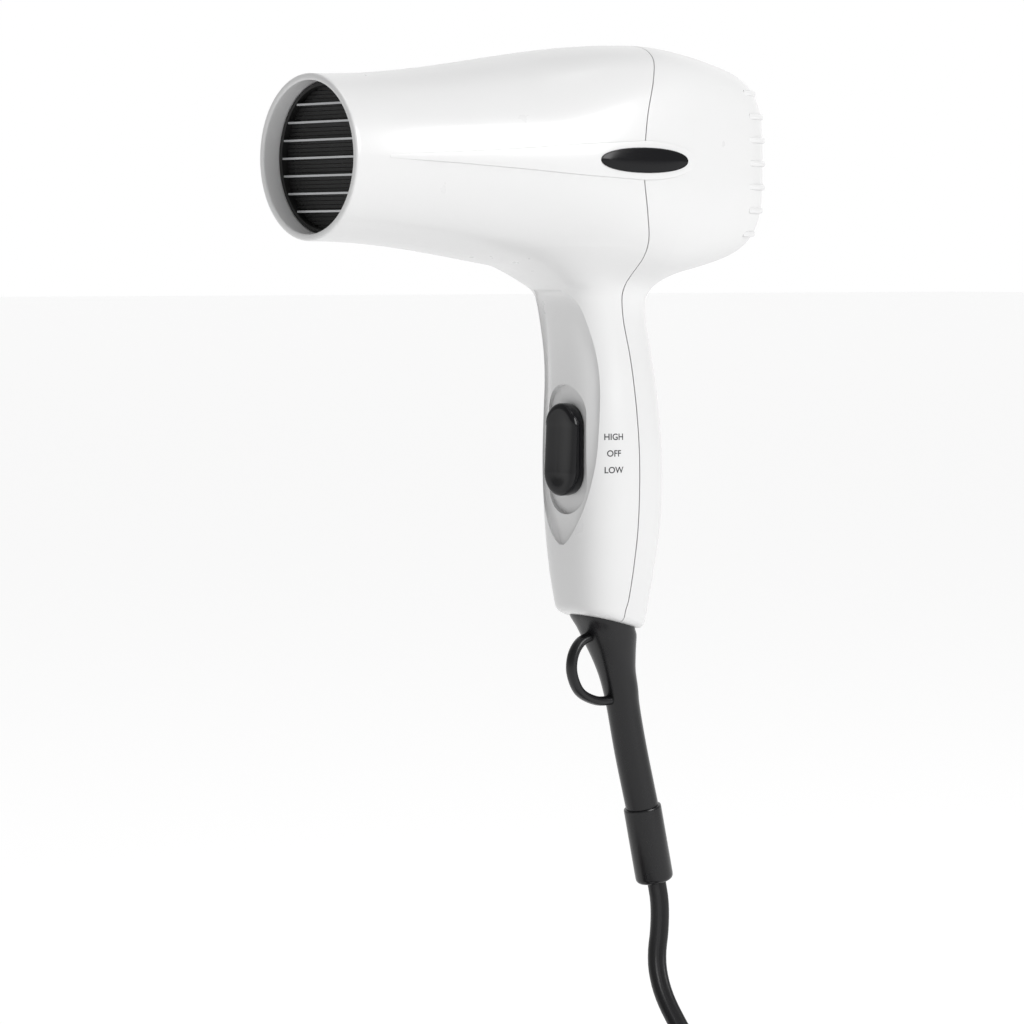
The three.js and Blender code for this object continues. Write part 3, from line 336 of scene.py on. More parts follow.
relief_middle, relief_size = middle("plug_relief")
relief_back = relief_middle[1] - relief_size[1] / 2
fins = []
for along in np.linspace(0, relief_size[1], 67):
    taper = 4.1 + 2.3 * along / relief_size[1]
    in_groove = 2.5 < along < 18.5 and (along - 2.5) % 3.2 < 1.5
    ring = superellipse(taper - 0.85 * in_groove, taper * 0.94 - 0.85 * in_groove, 2.3, 36)
    fins.append(np.stack([
        relief_middle[0] + ring[:, 0], np.full(len(ring), relief_back + along), relief_middle[2] + ring[:, 1],
    ], axis=1))
plug_relief = piece(
    "plug_cord_relief", *loft(np.array(fins)), vinyl, "soft_black", replaced=("plug_relief",),
)
brass = moulded("stamped_brass", (0.72, 0.53, 0.24), 0.28, grain=0.4, metallic=1.0, spread=0.08)
for node in ("pin_live", "pin_neutral"):
    at, size = middle(node)
    blade = piece(f"{node}_blade", *box_points(at - size / 2, at + size / 2), brass, "brass_metal", replaced=(node,))
    rounded(blade, 0.5)
    cut_hole = at + [0, size[1] / 2 - 4.2, 0]
    hole_ring = superellipse(1.5, 1.5, 2, 20)
    hole = np.array([
        np.stack([np.full(20, cut_hole[0] + x), cut_hole[1] + hole_ring[:, 0], cut_hole[2] + hole_ring[:, 1]], axis=1)
        for x in (-3, 3)
    ])
    cut(blade, [loft(hole)])

# ---- Coil tie ----
# A soft strap that goes once round the bundle.
tie_low, tie_high = (np.array(corner) * 1000 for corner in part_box("coil_tie"))
tie_centre = (tie_low + tie_high) / 2
tie_half = (tie_high - tie_low) / 2
tie_outline = superellipse(tie_half[1] - 0.6, tie_half[2] - 0.6, 6, 72)
tie_line = np.array([[tie_centre[0], tie_centre[1] + y, tie_centre[2] + z] for y, z in tie_outline])
outward = unit(tie_line - tie_centre)
strap = []
for across, out in [(-3.6, -0.5), (-4, 0), (-3.6, 0.5), (0, 0.62), (3.6, 0.5), (4, 0), (3.6, -0.5), (0, -0.5)]:
    strap.append(tie_line + outward * out + [across, 0, 0])
strap = np.array(strap)
strap_points, strap_faces = loft(np.concatenate([strap, strap[:1]]), caps=False)
tie = piece("cord_tie", strap_points, strap_faces, satin_black, "black_plastic", replaced=("coil_tie",))

# ---- Housing ----
# Two injection-moulded shells of white ABS, 2.1 mm thick, met along a wavy line down the side of the dryer.
# The barrel is round at the mouth and squarer at the back, and it flows into the grip through one fillet.
MOUTH_X, REAR_X, AXIS_Z = -114.4, 50.9, 91.0
BARREL_LENGTH = REAR_X - MOUTH_X
CAP_X = MOUTH_X + 0.875 * BARREL_LENGTH
WALL = 2.1
GRIP_END_TILT = math.radians(14.7)
GRIP_SECTIONS = [  # height, middle, depth and width as shares of the full ones
    [-65, 0, 0.56, 0.56], [-56.2, 0, 0.7, 0.7], [-46.4, -0.1, 0.8, 0.8], [-35.6, 0, 0.89, 0.89],
    [-21.6, 0.3, 0.97, 0.97], [-2.7, 0.1, 1, 1], [11.8, -0.5, 0.975, 0.975], [22.8, -1.2, 0.935, 0.935],
    [32.8, -2.4, 0.9, 0.9], [41.9, -3.9, 0.885, 0.885], [47.3, -4.6, 0.91, 0.9], [51, -5, 1, 0.93],
    [54.6, -6.5, 1.22, 0.98], [59.2, -8, 1.45, 1.1], [64.6, -8, 1.6, 1.3],
]
SEAM = [
    [-110, -3], [-56.4, -1.6], [-45.5, -0.2], [-27.3, 1], [-10.9, 1.3], [4.6, 0.9], [20, -0.2], [30.9, -1.6],
    [41, -3.8], [49.1, -4.9], [56.4, -4.8], [65.5, -6.4], [74.6, -9.6], [85.5, -12.1], [96.5, -11.8],
    [106.5, -9.6], [116.5, -4.6], [123.8, 0.3], [130.1, 3.2], [146, 4],
]


def lookup(points):
    """A function that gives the smoothly interpolated columns of a table at any value of its first column."""
    table = smooth_line(points, 0.4)
    return lambda at: [np.interp(at, table[:, 0], table[:, k]) for k in range(1, table.shape[1])]


grip_at, seam_at = lookup(GRIP_SECTIONS), lookup(SEAM)


def blend(a, b, width):
    """The smaller of two fields, with a fillet of about the given width where they meet."""
    h = np.maximum(width - np.abs(a - b), 0) / width
    return np.minimum(a, b) - h * h * width / 4


def barrel_size(x):
    share = np.clip((x - MOUTH_X) / BARREL_LENGTH, 0, 1)
    half = 25 + 11.8 * ease((share / 0.715) ** 1.07) - 4.1 * (np.maximum(share - 0.715, 0) / 0.16) ** 1.5
    square = ease((share - 0.42) / 0.42)
    return half, half * (1 - 0.07 * square), 2 + 1.5 * square


def barrel(p, inset=0.0):
    half, wide, squareness = barrel_size(p[..., 0])
    round_part = (np.abs(p[..., 1]) / (wide - inset)) ** squareness
    round_part = round_part + (np.abs(p[..., 2] - AXIS_Z) / (half - inset)) ** squareness
    back = np.maximum(p[..., 0] - CAP_X, 0) / (REAR_X - inset - CAP_X)
    return ((round_part ** (4.4 / squareness) + back**4.4) ** (1 / 4.4) - 1) * (half - inset)


def grip(p, inset=0.0):
    middle_x, depth, width = grip_at(p[..., 2])
    depth, width = 17.8 * depth - inset, 17.2 * width - inset
    around = (np.abs(p[..., 0] - middle_x) / depth) ** 2.6 + (np.abs(p[..., 1]) / width) ** 2.6
    side = (around ** (1 / 2.6) - 1) * np.minimum(depth, width)
    end = -(p[..., 2] + 54) * math.cos(GRIP_END_TILT) - p[..., 0] * math.sin(GRIP_END_TILT) + inset
    return np.maximum(-blend(-side, -end, 2.4), p[..., 2] - 80)


def outside(p, inset=0.0):
    """The dryer's outer surface as a field: below nought inside it, above outside, in about millimetres.

    It runs on past the mouth, where it is cut."""
    return np.maximum(blend(barrel(p, inset), grip(p, inset), 7), MOUTH_X - 3 + inset / 2 - p[..., 0])


def hollow(p):
    """The space in the shells. The wall behind the thumb hollow stays thick, as it carries the switch."""
    seat = np.maximum(p[..., 0] + 9.8, np.abs(p[..., 2] - 11) - 44)
    return np.maximum(outside(p, WALL), -seat)


def slope(field, p, h=0.05):
    steps = np.eye(3) * h
    return np.stack([(field(p + s) - field(p - s)) / (2 * h) for s in steps], axis=-1)


def settle(field, p, times=5, longest=1.5):
    """Moves points on to the surface where the field is nought."""
    for _ in range(times):
        g = slope(field, p)
        move = (field(p) / np.maximum((g * g).sum(-1), 0.05))[:, None] * g
        size = np.linalg.norm(move, axis=1, keepdims=True)
        p = p - move * np.minimum(1, longest / np.maximum(size, 1e-9))
    return p


def skin(field, low, high, step, relax=4):
    """Points and triangles of the surface where the field is nought, from a grid of cells and then settled."""
    axes = [np.arange(a, b + step, step) for a, b in zip(low, high)]
    inner = field(np.stack(np.meshgrid(*axes, indexing="ij"), axis=-1)) < 0
    near = [slice(None, -1), slice(1, None)]
    corners = np.stack([inner[i, j, k] for i in near for j in near for k in near])
    mixed = corners.any(0) & ~corners.all(0)
    number = np.full(mixed.shape, -1)
    number[mixed] = np.arange(mixed.sum())
    points = np.array(low) + (np.argwhere(mixed) + 0.5) * step
    faces = []
    for axis in range(3):
        a = np.moveaxis(inner, axis, 0)
        cells = np.moveaxis(number, axis, 0)
        crossing = a[:-1, 1:-1, 1:-1] != a[1:, 1:-1, 1:-1]
        i, j, k = np.nonzero(crossing)
        quad = np.stack([cells[i, j, k], cells[i, j + 1, k], cells[i, j + 1, k + 1], cells[i, j, k + 1]], axis=1)
        turned = a[i + 1, j + 1, k + 1]
        quad[turned] = quad[turned, ::-1]
        faces.append(quad)
    faces = np.concatenate(faces)
    points = settle(field, points)
    for _ in range(relax):
        total, count = np.zeros_like(points), np.zeros(len(points))
        for a, b in zip(range(4), (1, 2, 3, 0)):
            for one, other in ((a, b), (b, a)):
                np.add.at(total, faces[:, one], points[faces[:, other]])
                np.add.at(count, faces[:, one], 1)
        points = settle(field, points * 0.4 + total / count[:, None] * 0.6, 2)
    points = settle(field, points, 2)
    splits = []
    for order in ((0, 1, 2, 0, 2, 3), (1, 2, 3, 1, 3, 0)):
        halves = faces[:, order].reshape(-1, 2, 3)
        a, b, c = (points[halves[:, :, k]] for k in range(3))
        ways = unit(np.cross(b - a, c - a))
        splits.append((halves, (ways[:, 0] * ways[:, 1]).sum(1)))
    better = splits[0][1] > splits[1][1]
    halves = np.where(better[:, None, None], splits[0][0], splits[1][0])
    return points, halves.reshape(-1, 3).tolist()


white = moulded("white_abs", (0.72, 0.72, 0.72), 0.3, grain=0.8, depth=0.004, mottle=0.008, coat=0.25)
STEP = 0.9
outer = skin(outside, [-121, -39, -62], [55, 39, 131], STEP)
inner = skin(hollow, [-121, -37, -60], [53, 37, 129], 2.2, relax=2)


def stadium(half_width, half_length, count=24):
    """Outline of a slot with round ends, upright, about nought."""
    angle = np.linspace(0, math.pi, count)
    cap = np.stack([half_width * np.cos(angle), half_width * np.sin(angle) + half_length - half_width], axis=1)
    return np.concatenate([cap, -cap])


def bar(outline, near, far, axis=0):
    """A prism over an outline in the two other axes, from near to far along the axis."""
    return loft(np.array([np.insert(outline, axis, at, axis=1) for at in (near, far)]))


LEAF = lookup([
    [-29.2, 0.6], [-28, 2.6], [-24, 6.2], [-16, 10.3], [-4, 13.1], [8.5, 13.9], [22, 13.7], [34.5, 12.6], [46, 10.5],
    [49.5, 8], [51.2, 6.6],
])


def thumb_hollow():
    """The cutter for the leaf-shaped hollow: it follows the grip at a depth, with a cove along its rim."""
    heights = np.concatenate([np.linspace(-29, -26, 6)[:-1], np.linspace(-26, 49, 84), np.linspace(49, 51.2, 6)[1:]])
    across = np.sin(np.linspace(-1, 1, 61) * math.pi / 2)
    half = LEAF(heights)[0]
    y = half[:, None] * across[None, :]
    z = np.repeat(heights[:, None], len(across), axis=1)
    near, far = np.full(y.shape, -44.0), np.full(y.shape, -4.0)
    for _ in range(26):
        x = (near + far) / 2
        is_in = outside(np.stack([x, y, z], axis=-1)) < 0
        near, far = np.where(is_in, near, x), np.where(is_in, x, far)
    rim = np.minimum(half[:, None] - np.abs(y), 1.2 * (51.2 - z))
    rim = np.minimum(rim, 0.45 * (z + 29.2))
    cove = np.sqrt(1 - (1 - np.clip(rim / 4.2, 0, 1)) ** 2)
    x = near + 0.35 + 1.9 * cove
    floor_points = np.stack([x, y, z], axis=-1)
    top = floor_points.copy()
    top[..., 0] = -60
    points = np.concatenate([floor_points.reshape(-1, 3), top.reshape(-1, 3)])
    rows, columns = y.shape
    at = np.arange(rows * columns).reshape(rows, columns)
    grid = np.stack([at[:-1, :-1], at[:-1, 1:], at[1:, 1:], at[1:, :-1]], axis=-1).reshape(-1, 4)
    faces = grid.tolist() + (grid[:, ::-1] + rows * columns).tolist()
    edge = np.concatenate([at[0, :], at[1:, -1], at[-1, -2::-1], at[-2:0:-1, 0]])
    for a, b in zip(edge, np.roll(edge, -1)):
        faces.append([int(b), int(a), int(a) + rows * columns, int(b) + rows * columns])
    return points, faces


KNOB_Z = 1.0
POCKET_FLOOR = -13.0
SCREWS = {"upper": 47.0, "lower": -38.0}
openings = [
    thumb_hollow(),
    bar(stadium(9.3, 20.5) + [0, KNOB_Z], -60, POCKET_FLOOR),
    bar(superellipse(2.8, 8.8, 14, 24) + [0, KNOB_Z], -20, -11.5),
    bar(superellipse(2.8, 10.2, 14, 24) + [0, KNOB_Z], -11.6, -8),
]
ring = superellipse(1, 1, 2, 32)
for at in SCREWS.values():
    seat_x = 7.2 if at > 0 else 11.0
    openings.append(bar(ring * 3.3 + [0, at], seat_x, 40))
    openings.append(bar(ring * 1.6 + [0, at], -12, seat_x + 1))
RIB_PITCH, RIBS = 7.4, 7
INTAKE_X = MOUTH_X + 0.93 * BARREL_LENGTH
for row in range(RIBS - 1):
    height = AXIS_Z + RIB_PITCH * (row - (RIBS - 2) / 2)
    for side in (-1, 1):
        slot = superellipse(9.7, 1.9, 9, 40) + [side * 10.9, height]
        openings.append(bar(slot, INTAKE_X, 60))
RIM_LENGTH = 2.0
sheet = np.array([[-70, -60], [70, -60], [70, 140], [-70, 140]], float)
openings.append(bar(sheet, -125, MOUTH_X + RIM_LENGTH))


def half_shell(name, sign, replaced):
    """One shell: the outside without the hollow and the openings, kept on one side of the seam.

    Its skin is shaded with the field's own slope, so the cuts leave no marks on it."""
    heights = np.linspace(-80, 150, 460)
    line = np.stack([seam_at(heights)[0] + sign * 0.2, heights], axis=1)
    block = np.concatenate([line, [[-sign * 170, 150], [-sign * 170, -80]]])
    beyond = loft(np.array([np.insert(block, 1, y, axis=1) for y in (-60, 60)]))
    shell = piece(name, *outer, white, "white_shell", replaced=replaced, crease=38)
    cut(shell, [inner, beyond, *openings])
    mesh = shell.data
    mesh.set_sharp_from_angle(angle=math.radians(38))
    places = np.array([v.co[:] for v in mesh.vertices]) * 1000
    true = unit(slope(outside, places))
    on_skin = np.abs(outside(places)) < 0.02
    corner = np.array([loop.vertex_index for loop in mesh.loops])
    normals = np.array([n.vector[:] for n in mesh.corner_normals])
    flat = np.repeat([p.normal[:] for p in mesh.polygons], [p.loop_total for p in mesh.polygons], axis=0)
    smooth = on_skin[corner] & ((flat * true[corner]).sum(1) > math.cos(math.radians(38)))
    normals[smooth] = true[corner[smooth]]
    mesh.normals_split_custom_set(normals.tolist())
    return shell


front = half_shell("front_shell", -1, ("front_housing",))
rear = half_shell("rear_shell", 1, ("rear_housing",))

# ---- Seam shade strip ----
# A dark strip lies in the step between the two shells, all along the seam. Its black is painted shade, a dark sheet
# that stands for the shadow in the narrow gap between the white shells.
painted_seam_shade = moulded("painted_seam_shade", (0.006, 0.006, 0.006), 0.7, specular=0.1)
seam_shade = piece(
    "seam_seal", *skin(lambda p: outside(p, 0.5), [-121, -39, -62], [55, 39, 131], 2.2, relax=2), painted_seam_shade,
    "soft_black",
)
heights = np.linspace(-80, 150, 460)
sides = []
for sign in (-1, 1):
    line = np.stack([seam_at(heights)[0] + sign * 0.4, heights], axis=1)
    block = np.concatenate([line, [[sign * 170, 150], [sign * 170, -80]]])
    sides.append(loft(np.array([np.insert(block, 1, y, axis=1) for y in (-60, 60)])))
cut(seam_shade, [*sides, skin(lambda p: outside(p, 1.1), [-121, -39, -60], [53, 39, 129], 2.2, relax=2)])

# ---- Mouth rim ----
# The front shell's open end, with a small radius on both edges of the 2.1 mm wall.
rim_profile = []
for x, outer_r in [(RIM_LENGTH, 25), (0.75, 25), (0.42, 24.93), (0.16, 24.72), (0.03, 24.4), (0, 24.05)]:
    rim_profile.append([MOUTH_X + x, outer_r])
for x, inner_r in [(0, 23.6), (0.03, 23.38), (0.14, 23.12), (0.36, 22.94), (0.65, 22.9), (RIM_LENGTH, 22.9)]:
    rim_profile.append([MOUTH_X + x, inner_r])
rim_profile = np.array([*rim_profile, rim_profile[0]])
circle = superellipse(1, 1, 2, 200)
rim_rings = np.array([
    np.stack([np.full(200, x), circle[:, 0] * r, AXIS_Z + circle[:, 1] * r], axis=1) for x, r in rim_profile
])
piece("mouth_rim", *loft(rim_rings, caps=False), white, "white_shell", crease=50)

# ---- Intake ribs ----
# Seven bars moulded across the back, level with one another, that stand 0.8 mm proud between the slots.
for row in range(RIBS):
    height = AXIS_Z + RIB_PITCH * (row - (RIBS - 1) / 2)
    way = np.linspace(-math.pi / 2, math.pi / 2, 97)
    path = np.stack([np.cos(way) * 40 + 5, np.sin(way) * 40, np.full(97, height)], axis=1)
    start = np.array([5.0, 0, height])
    near, far = np.zeros(97), np.ones(97) * 1.3
    for _ in range(30):
        share = (near + far) / 2
        is_in = outside(start + (path - start) * share[:, None]) < 0
        near, far = np.where(is_in, share, near), np.where(is_in, far, share)
    path = start + (path - start) * near[:, None]
    path = path[path[:, 0] > INTAKE_X - 3.5]
    out = slope(outside, path)
    out[:, 2] = 0
    out = unit(out)
    fade = ease((path[:, 0] - (INTAKE_X - 3.5)) / 3)[:, None]
    bars = []
    for up, proud in [
        (-0.9, -1.2), (-0.9, 0.3), (-0.78, 0.62), (-0.5, 0.78), (0, 0.82), (0.5, 0.78), (0.78, 0.62), (0.9, 0.3),
        (0.9, -1.2),
    ]:
        bars.append(path + out * np.where(proud > 0, -0.25 + (proud + 0.25) * fade, proud) + [0, 0, up])
    piece(f"intake_rib_{row + 1}", *loft(np.array(bars).transpose(1, 0, 2)), white, "white_shell", crease=50)

# ---- Side ridge and badge ----
# A long pointed ridge, 0.6 mm proud, runs back along each side of the barrel. A glossy black oval with a
# bevelled rim is snapped over its wide end. The oval carries no lettering.
gloss_black = moulded("gloss_black", (0.005, 0.005, 0.006), 0.14, grain=1.5, depth=0.003, spread=0.02, specular=0.3)
TIP_X, RIDGE_HALF, RIDGE_TAIL, BADGE_X = -101.8, 6.1, 21.0, -12.0


def beside(x, z, side, proud):
    """Points on the barrel's side at the given x and z, lifted by proud."""
    half, wide, squareness = barrel_size(x)
    y = wide * (1 - np.minimum(np.abs(z - AXIS_Z) / half, 1) ** squareness) ** (1 / squareness)
    return np.stack([x, side * (y + proud), z], axis=-1)


widen = lookup([[-0.01, 0.08], [0, 0.11], [0.25, 0.26], [0.51, 0.51], [0.78, 0.82], [1, 1], [1.01, 1]])
for side, label in ((-1, "left"), (1, "right")):
    x = np.concatenate([
        TIP_X - 0.6 * np.cos(np.linspace(0, math.pi / 2, 6))[:-1],
        np.linspace(TIP_X, BADGE_X, 120)[:-1],
        BADGE_X + RIDGE_TAIL * np.sin(np.linspace(0, math.pi / 2, 40)),
    ])
    half = RIDGE_HALF * widen(np.clip((x - TIP_X) / (BADGE_X - TIP_X), 0, 1))[0]
    half = half * np.sqrt(np.clip(1 - ((x - BADGE_X) / RIDGE_TAIL).clip(0) ** 2, 1e-5, 1))
    half = half * np.sqrt(np.clip(1 - ((TIP_X - x) / 0.6).clip(0) ** 2, 1e-3, 1))
    across = [
        (-1.01, -0.4), (-1, 0.1), (-0.99, 0.42), (-0.96, 0.55), (-0.9, 0.58), (-0.4, 0.58), (0, 0.58), (0.4, 0.58),
        (0.9, 0.58), (0.96, 0.55), (0.99, 0.42), (1, 0.1), (1.01, -0.4),
    ]
    fade = 0.15 + 0.85 * ease((x - TIP_X) / 16)
    rows = [beside(x, AXIS_Z + half * share, side, proud * fade if proud > 0 else proud) for share, proud in across]
    piece(f"side_ridge_{label}", *loft(np.array(rows).transpose(1, 0, 2)), white, "white_shell", crease=30)
    oval = superellipse(1, 1, 2.15, 128)
    rings = []
    for share, proud in [
        (1, 0.2), (1, 0.62), (0.992, 0.8), (0.98, 0.9), (0.955, 0.93), (0.93, 0.86), (0.91, 0.8), (0.8, 0.84),
        (0.6, 0.9), (0.35, 0.94), (0.12, 0.96), (0.01, 0.96),
    ]:
        inset = (1 - share) * 4.2
        x = BADGE_X + oval[:, 0] * max(17.2 - inset, 0.1)
        rings.append(beside(x, AXIS_Z + oval[:, 1] * max(3.9 - inset, 0.03), side, proud))
    piece(f"badge_oval_{label}", *loft(np.array(rings)), gloss_black, "gloss_black", replaced=(f"badge_{label}",))

# ---- Slide switch knob ----
# A glossy black moulding with a dipped, ribless top. It slides 5.4 mm up or down in the pocket for high or
# low, and its stem drives the slider of the switch behind the wall.
knob_low, knob_high = (np.array(corner) * 1000 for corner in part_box("switch_knob"))
knob_middle = (knob_low + knob_high) / 2
knob_half = (knob_high - knob_low) / 2
KNOB_BACK, KNOB_FRONT = -13.3, -18.2
knob_rings = []
for inset, rise in [
    (0.25, 0), (0, 0.25), (0, 0.5), (0, 0.74), (0.1, 0.83), (0.32, 0.91), (0.75, 0.965), (1.3, 0.985), (2, 0.99),
    (3.4, 0.975), (5, 0.95), (6.4, 0.94), (7.3, 0.94),
]:
    outline = stadium(max(knob_half[1] - inset, 0.05), max(knob_half[2] - inset, 0.06), 40)
    along = outline[:, 1] / knob_half[2]
    height = 3.9 + 1.0 * ease((0.05 - along) / 0.45) + 0.5 * ease((along - 0.3) / 0.35)
    height = height - 0.5 * np.exp(-(((along - 0.16) / 0.24) ** 2))
    x = KNOB_BACK - height * rise
    knob_rings.append(np.stack([x, outline[:, 0], knob_middle[2] + outline[:, 1]], axis=1))
knob = piece(
    "slide_knob", *loft(np.array(knob_rings)), gloss_black, "gloss_black", body="switch", replaced=("switch_knob",),
)
stem_ring = superellipse(2.4, 3.2, 8, 24) + [0, KNOB_Z]
piece("knob_stem", *bar(stem_ring, -13.4, -10.5), gloss_black, "gloss_black", body="switch")

# ---- Switch marks ----
# Pad-printed grey words for the three places of the knob, beside its pocket.
printed = moulded("grey_print", (0.05, 0.05, 0.055), 0.6, grain=0.4, specular=0.2)
MARK_X, MARK_Y = -8.4, -16.2
for word, height in (("HIGH", 5.4), ("OFF", 0.2), ("LOW", -5.0)):
    text = bpy.data.curves.new(word, "FONT")
    text.body = word
    text.align_x = "CENTER"
    text.size = 2.8
    text.offset = 0.04
    text.resolution_u = 4
    drawn = bpy.data.objects.new(word, text)
    bpy.context.scene.collection.objects.link(drawn)
    flat = bpy.data.meshes.new_from_object(drawn.evaluated_get(bpy.context.evaluated_depsgraph_get()))
    bpy.data.objects.remove(drawn)
    shape = bmesh.new()
    shape.from_mesh(flat)
    bmesh.ops.triangulate(shape, faces=shape.faces)
    bmesh.ops.subdivide_edges(shape, edges=[e for e in shape.edges if e.calc_length() > 0.6], cuts=2)
    bmesh.ops.triangulate(shape, faces=shape.faces)
    local = np.array([v.co[:] for v in shape.verts])
    words = [[v.index for v in f.verts] for f in shape.faces]
    shape.free()
    local[:, 1] -= 1.05
    on_grip = np.stack([
        MARK_X + local[:, 0] * 0.9, MARK_Y - local[:, 0] * 0.43, height + local[:, 1],
    ], axis=1)
    on_grip = settle(outside, on_grip)
    out = unit(slope(outside, on_grip))
    points = np.concatenate([on_grip + out * 0.03, on_grip - out * 0.2])
    count = len(on_grip)
    faces = words + [[i + count for i in reversed(f)] for f in words]
    piece(f"mark_{word.lower()}", points, faces, printed, "gloss_black", recalculate=False)

# ---- Outlet grille ----
# A black heat-proof ring set 5.6 mm inside the mouth; its black is partly painted shade for the shadow gap
# round the grille. It holds seven thin level steel blades and, behind them, a fine comb of black bars that
# hides the mica: partly the grille's fine bars, partly painted shade for the dark depth of the barrel.
heatproof_and_shade_black = moulded("heatproof_black", (0.014, 0.014, 0.014), 0.5, grain=0.3, depth=0.02, specular=0.3)
steel = moulded("zinc_steel", (0.66, 0.67, 0.68), 0.32, grain=0.5, depth=0.004, metallic=1.0)
RING_X, RING_DEPTH, RING_OUTER, RING_INNER = -108.8, 5.0, 22.6, 21.5
ring_profile = [
    (0.3, RING_OUTER), (0, RING_OUTER - 0.3), (0, RING_INNER + 0.4), (0.4, RING_INNER), (RING_DEPTH, RING_INNER),
    (RING_DEPTH, RING_OUTER), (0.3, RING_OUTER),
]
ring_rings = np.array([
    np.stack([np.full(200, RING_X + x), circle[:, 0] * r, AXIS_Z + circle[:, 1] * r], axis=1) for x, r in ring_profile
])
# The ring's black is partly painted shade, standing for the shadow gap round the grille.
piece("grille_ring", *loft(ring_rings, caps=False), heatproof_and_shade_black, "heatproof_black", replaced=("outlet_grille",))


def chords(name, count, pitch, thickness, depth, x, radius, material, slot, first=0.0):
    """Level bars across a round opening, each as long as the opening is wide at its height."""
    tree = bpy.data.node_groups.new(name, "GeometryNodeTree")
    tree.interface.new_socket("Geometry", in_out="OUTPUT", socket_type="NodeSocketGeometry")
    tree.interface.new_socket("Geometry", in_out="INPUT", socket_type="NodeSocketGeometry")
    identifiers = {}
    for label, kind in (
        ("Count", "NodeSocketInt"), ("Pitch", "NodeSocketFloat"), ("Thickness", "NodeSocketFloat"),
        ("Depth", "NodeSocketFloat"), ("Radius", "NodeSocketFloat"),
    ):
        identifiers[label] = tree.interface.new_socket(label, in_out="INPUT", socket_type=kind).identifier
    nodes, links = tree.nodes, tree.links
    given, made = nodes.new("NodeGroupInput"), nodes.new("NodeGroupOutput")
    column, across, place = nodes.new("GeometryNodeMeshLine"), nodes.new("ShaderNodeCombineXYZ"), nodes.new(
        "GeometryNodeInputPosition"
    )
    links.new(given.outputs["Count"], column.inputs["Count"])
    links.new(given.outputs["Pitch"], across.inputs["Z"])
    links.new(across.outputs["Vector"], column.inputs["Offset"])
    lift = nodes.new("GeometryNodeTransform")
    half = nodes.new("ShaderNodeMath")
    half.operation = "MULTIPLY"
    links.new(given.outputs["Pitch"], half.inputs[0])
    half.inputs[1].default_value = -(count - 1) / 2 + first
    low = nodes.new("ShaderNodeCombineXYZ")
    links.new(half.outputs["Value"], low.inputs["Z"])
    links.new(column.outputs["Mesh"], lift.inputs["Geometry"])
    links.new(low.outputs["Vector"], lift.inputs["Translation"])
    split = nodes.new("ShaderNodeSeparateXYZ")
    links.new(place.outputs["Position"], split.inputs["Vector"])
    squares = []
    for source in (given.outputs["Radius"], split.outputs["Z"]):
        square = nodes.new("ShaderNodeMath")
        square.operation = "MULTIPLY"
        links.new(source, square.inputs[0])
        links.new(source, square.inputs[1])
        squares.append(square)
    rest, chord = nodes.new("ShaderNodeMath"), nodes.new("ShaderNodeMath")
    rest.operation, chord.operation = "SUBTRACT", "SQRT"
    links.new(squares[0].outputs["Value"], rest.inputs[0])
    links.new(squares[1].outputs["Value"], rest.inputs[1])
    links.new(rest.outputs["Value"], chord.inputs[0])
    stretch = nodes.new("ShaderNodeCombineXYZ")
    stretch.inputs["X"].default_value = 1
    stretch.inputs["Z"].default_value = 1
    links.new(chord.outputs["Value"], stretch.inputs["Y"])
    blade, size = nodes.new("GeometryNodeMeshCube"), nodes.new("ShaderNodeCombineXYZ")
    size.inputs["Y"].default_value = 2
    links.new(given.outputs["Depth"], size.inputs["X"])
    links.new(given.outputs["Thickness"], size.inputs["Z"])
    links.new(size.outputs["Vector"], blade.inputs["Size"])
    copies, real, finish = (
        nodes.new("GeometryNodeInstanceOnPoints"), nodes.new("GeometryNodeRealizeInstances"),
        nodes.new("GeometryNodeSetMaterial"),
    )
    links.new(lift.outputs["Geometry"], copies.inputs["Points"])
    links.new(blade.outputs["Mesh"], copies.inputs["Instance"])
    links.new(stretch.outputs["Vector"], copies.inputs["Scale"])
    links.new(copies.outputs["Instances"], real.inputs["Geometry"])
    links.new(real.outputs["Geometry"], finish.inputs["Geometry"])
    finish.inputs["Material"].default_value = material
    links.new(finish.outputs["Geometry"], made.inputs["Geometry"])
    base = bpy.data.objects.new(name, bpy.data.meshes.new(name))
    bpy.context.scene.collection.objects.link(base)
    spread = base.modifiers.new(name, "NODES")
    spread.node_group = tree
    for label, value in (
        ("Count", count), ("Pitch", pitch), ("Thickness", thickness), ("Depth", depth), ("Radius", radius),
    ):
        spread[identifiers[label]] = value
    result = bpy.data.meshes.new_from_object(base.evaluated_get(bpy.context.evaluated_depsgraph_get()))
    bpy.data.objects.remove(base)
    points = np.array([v.co[:] for v in result.vertices]) + [x, 0, AXIS_Z]
    return piece(name, points, [list(p.vertices) for p in result.polygons], material, slot)


chords("grille_blades", 7, 5.35, 0.62, 2.0, RING_X + 1.2, 20.9, steel, "zinc_steel")
# The comb's near-solid black is partly painted shade, standing for the dark depth behind the blades.
chords("grille_comb", 35, 1.22, 1.08, 0.8, RING_X + 2.9, 21.6, heatproof_and_shade_black, "heatproof_black")

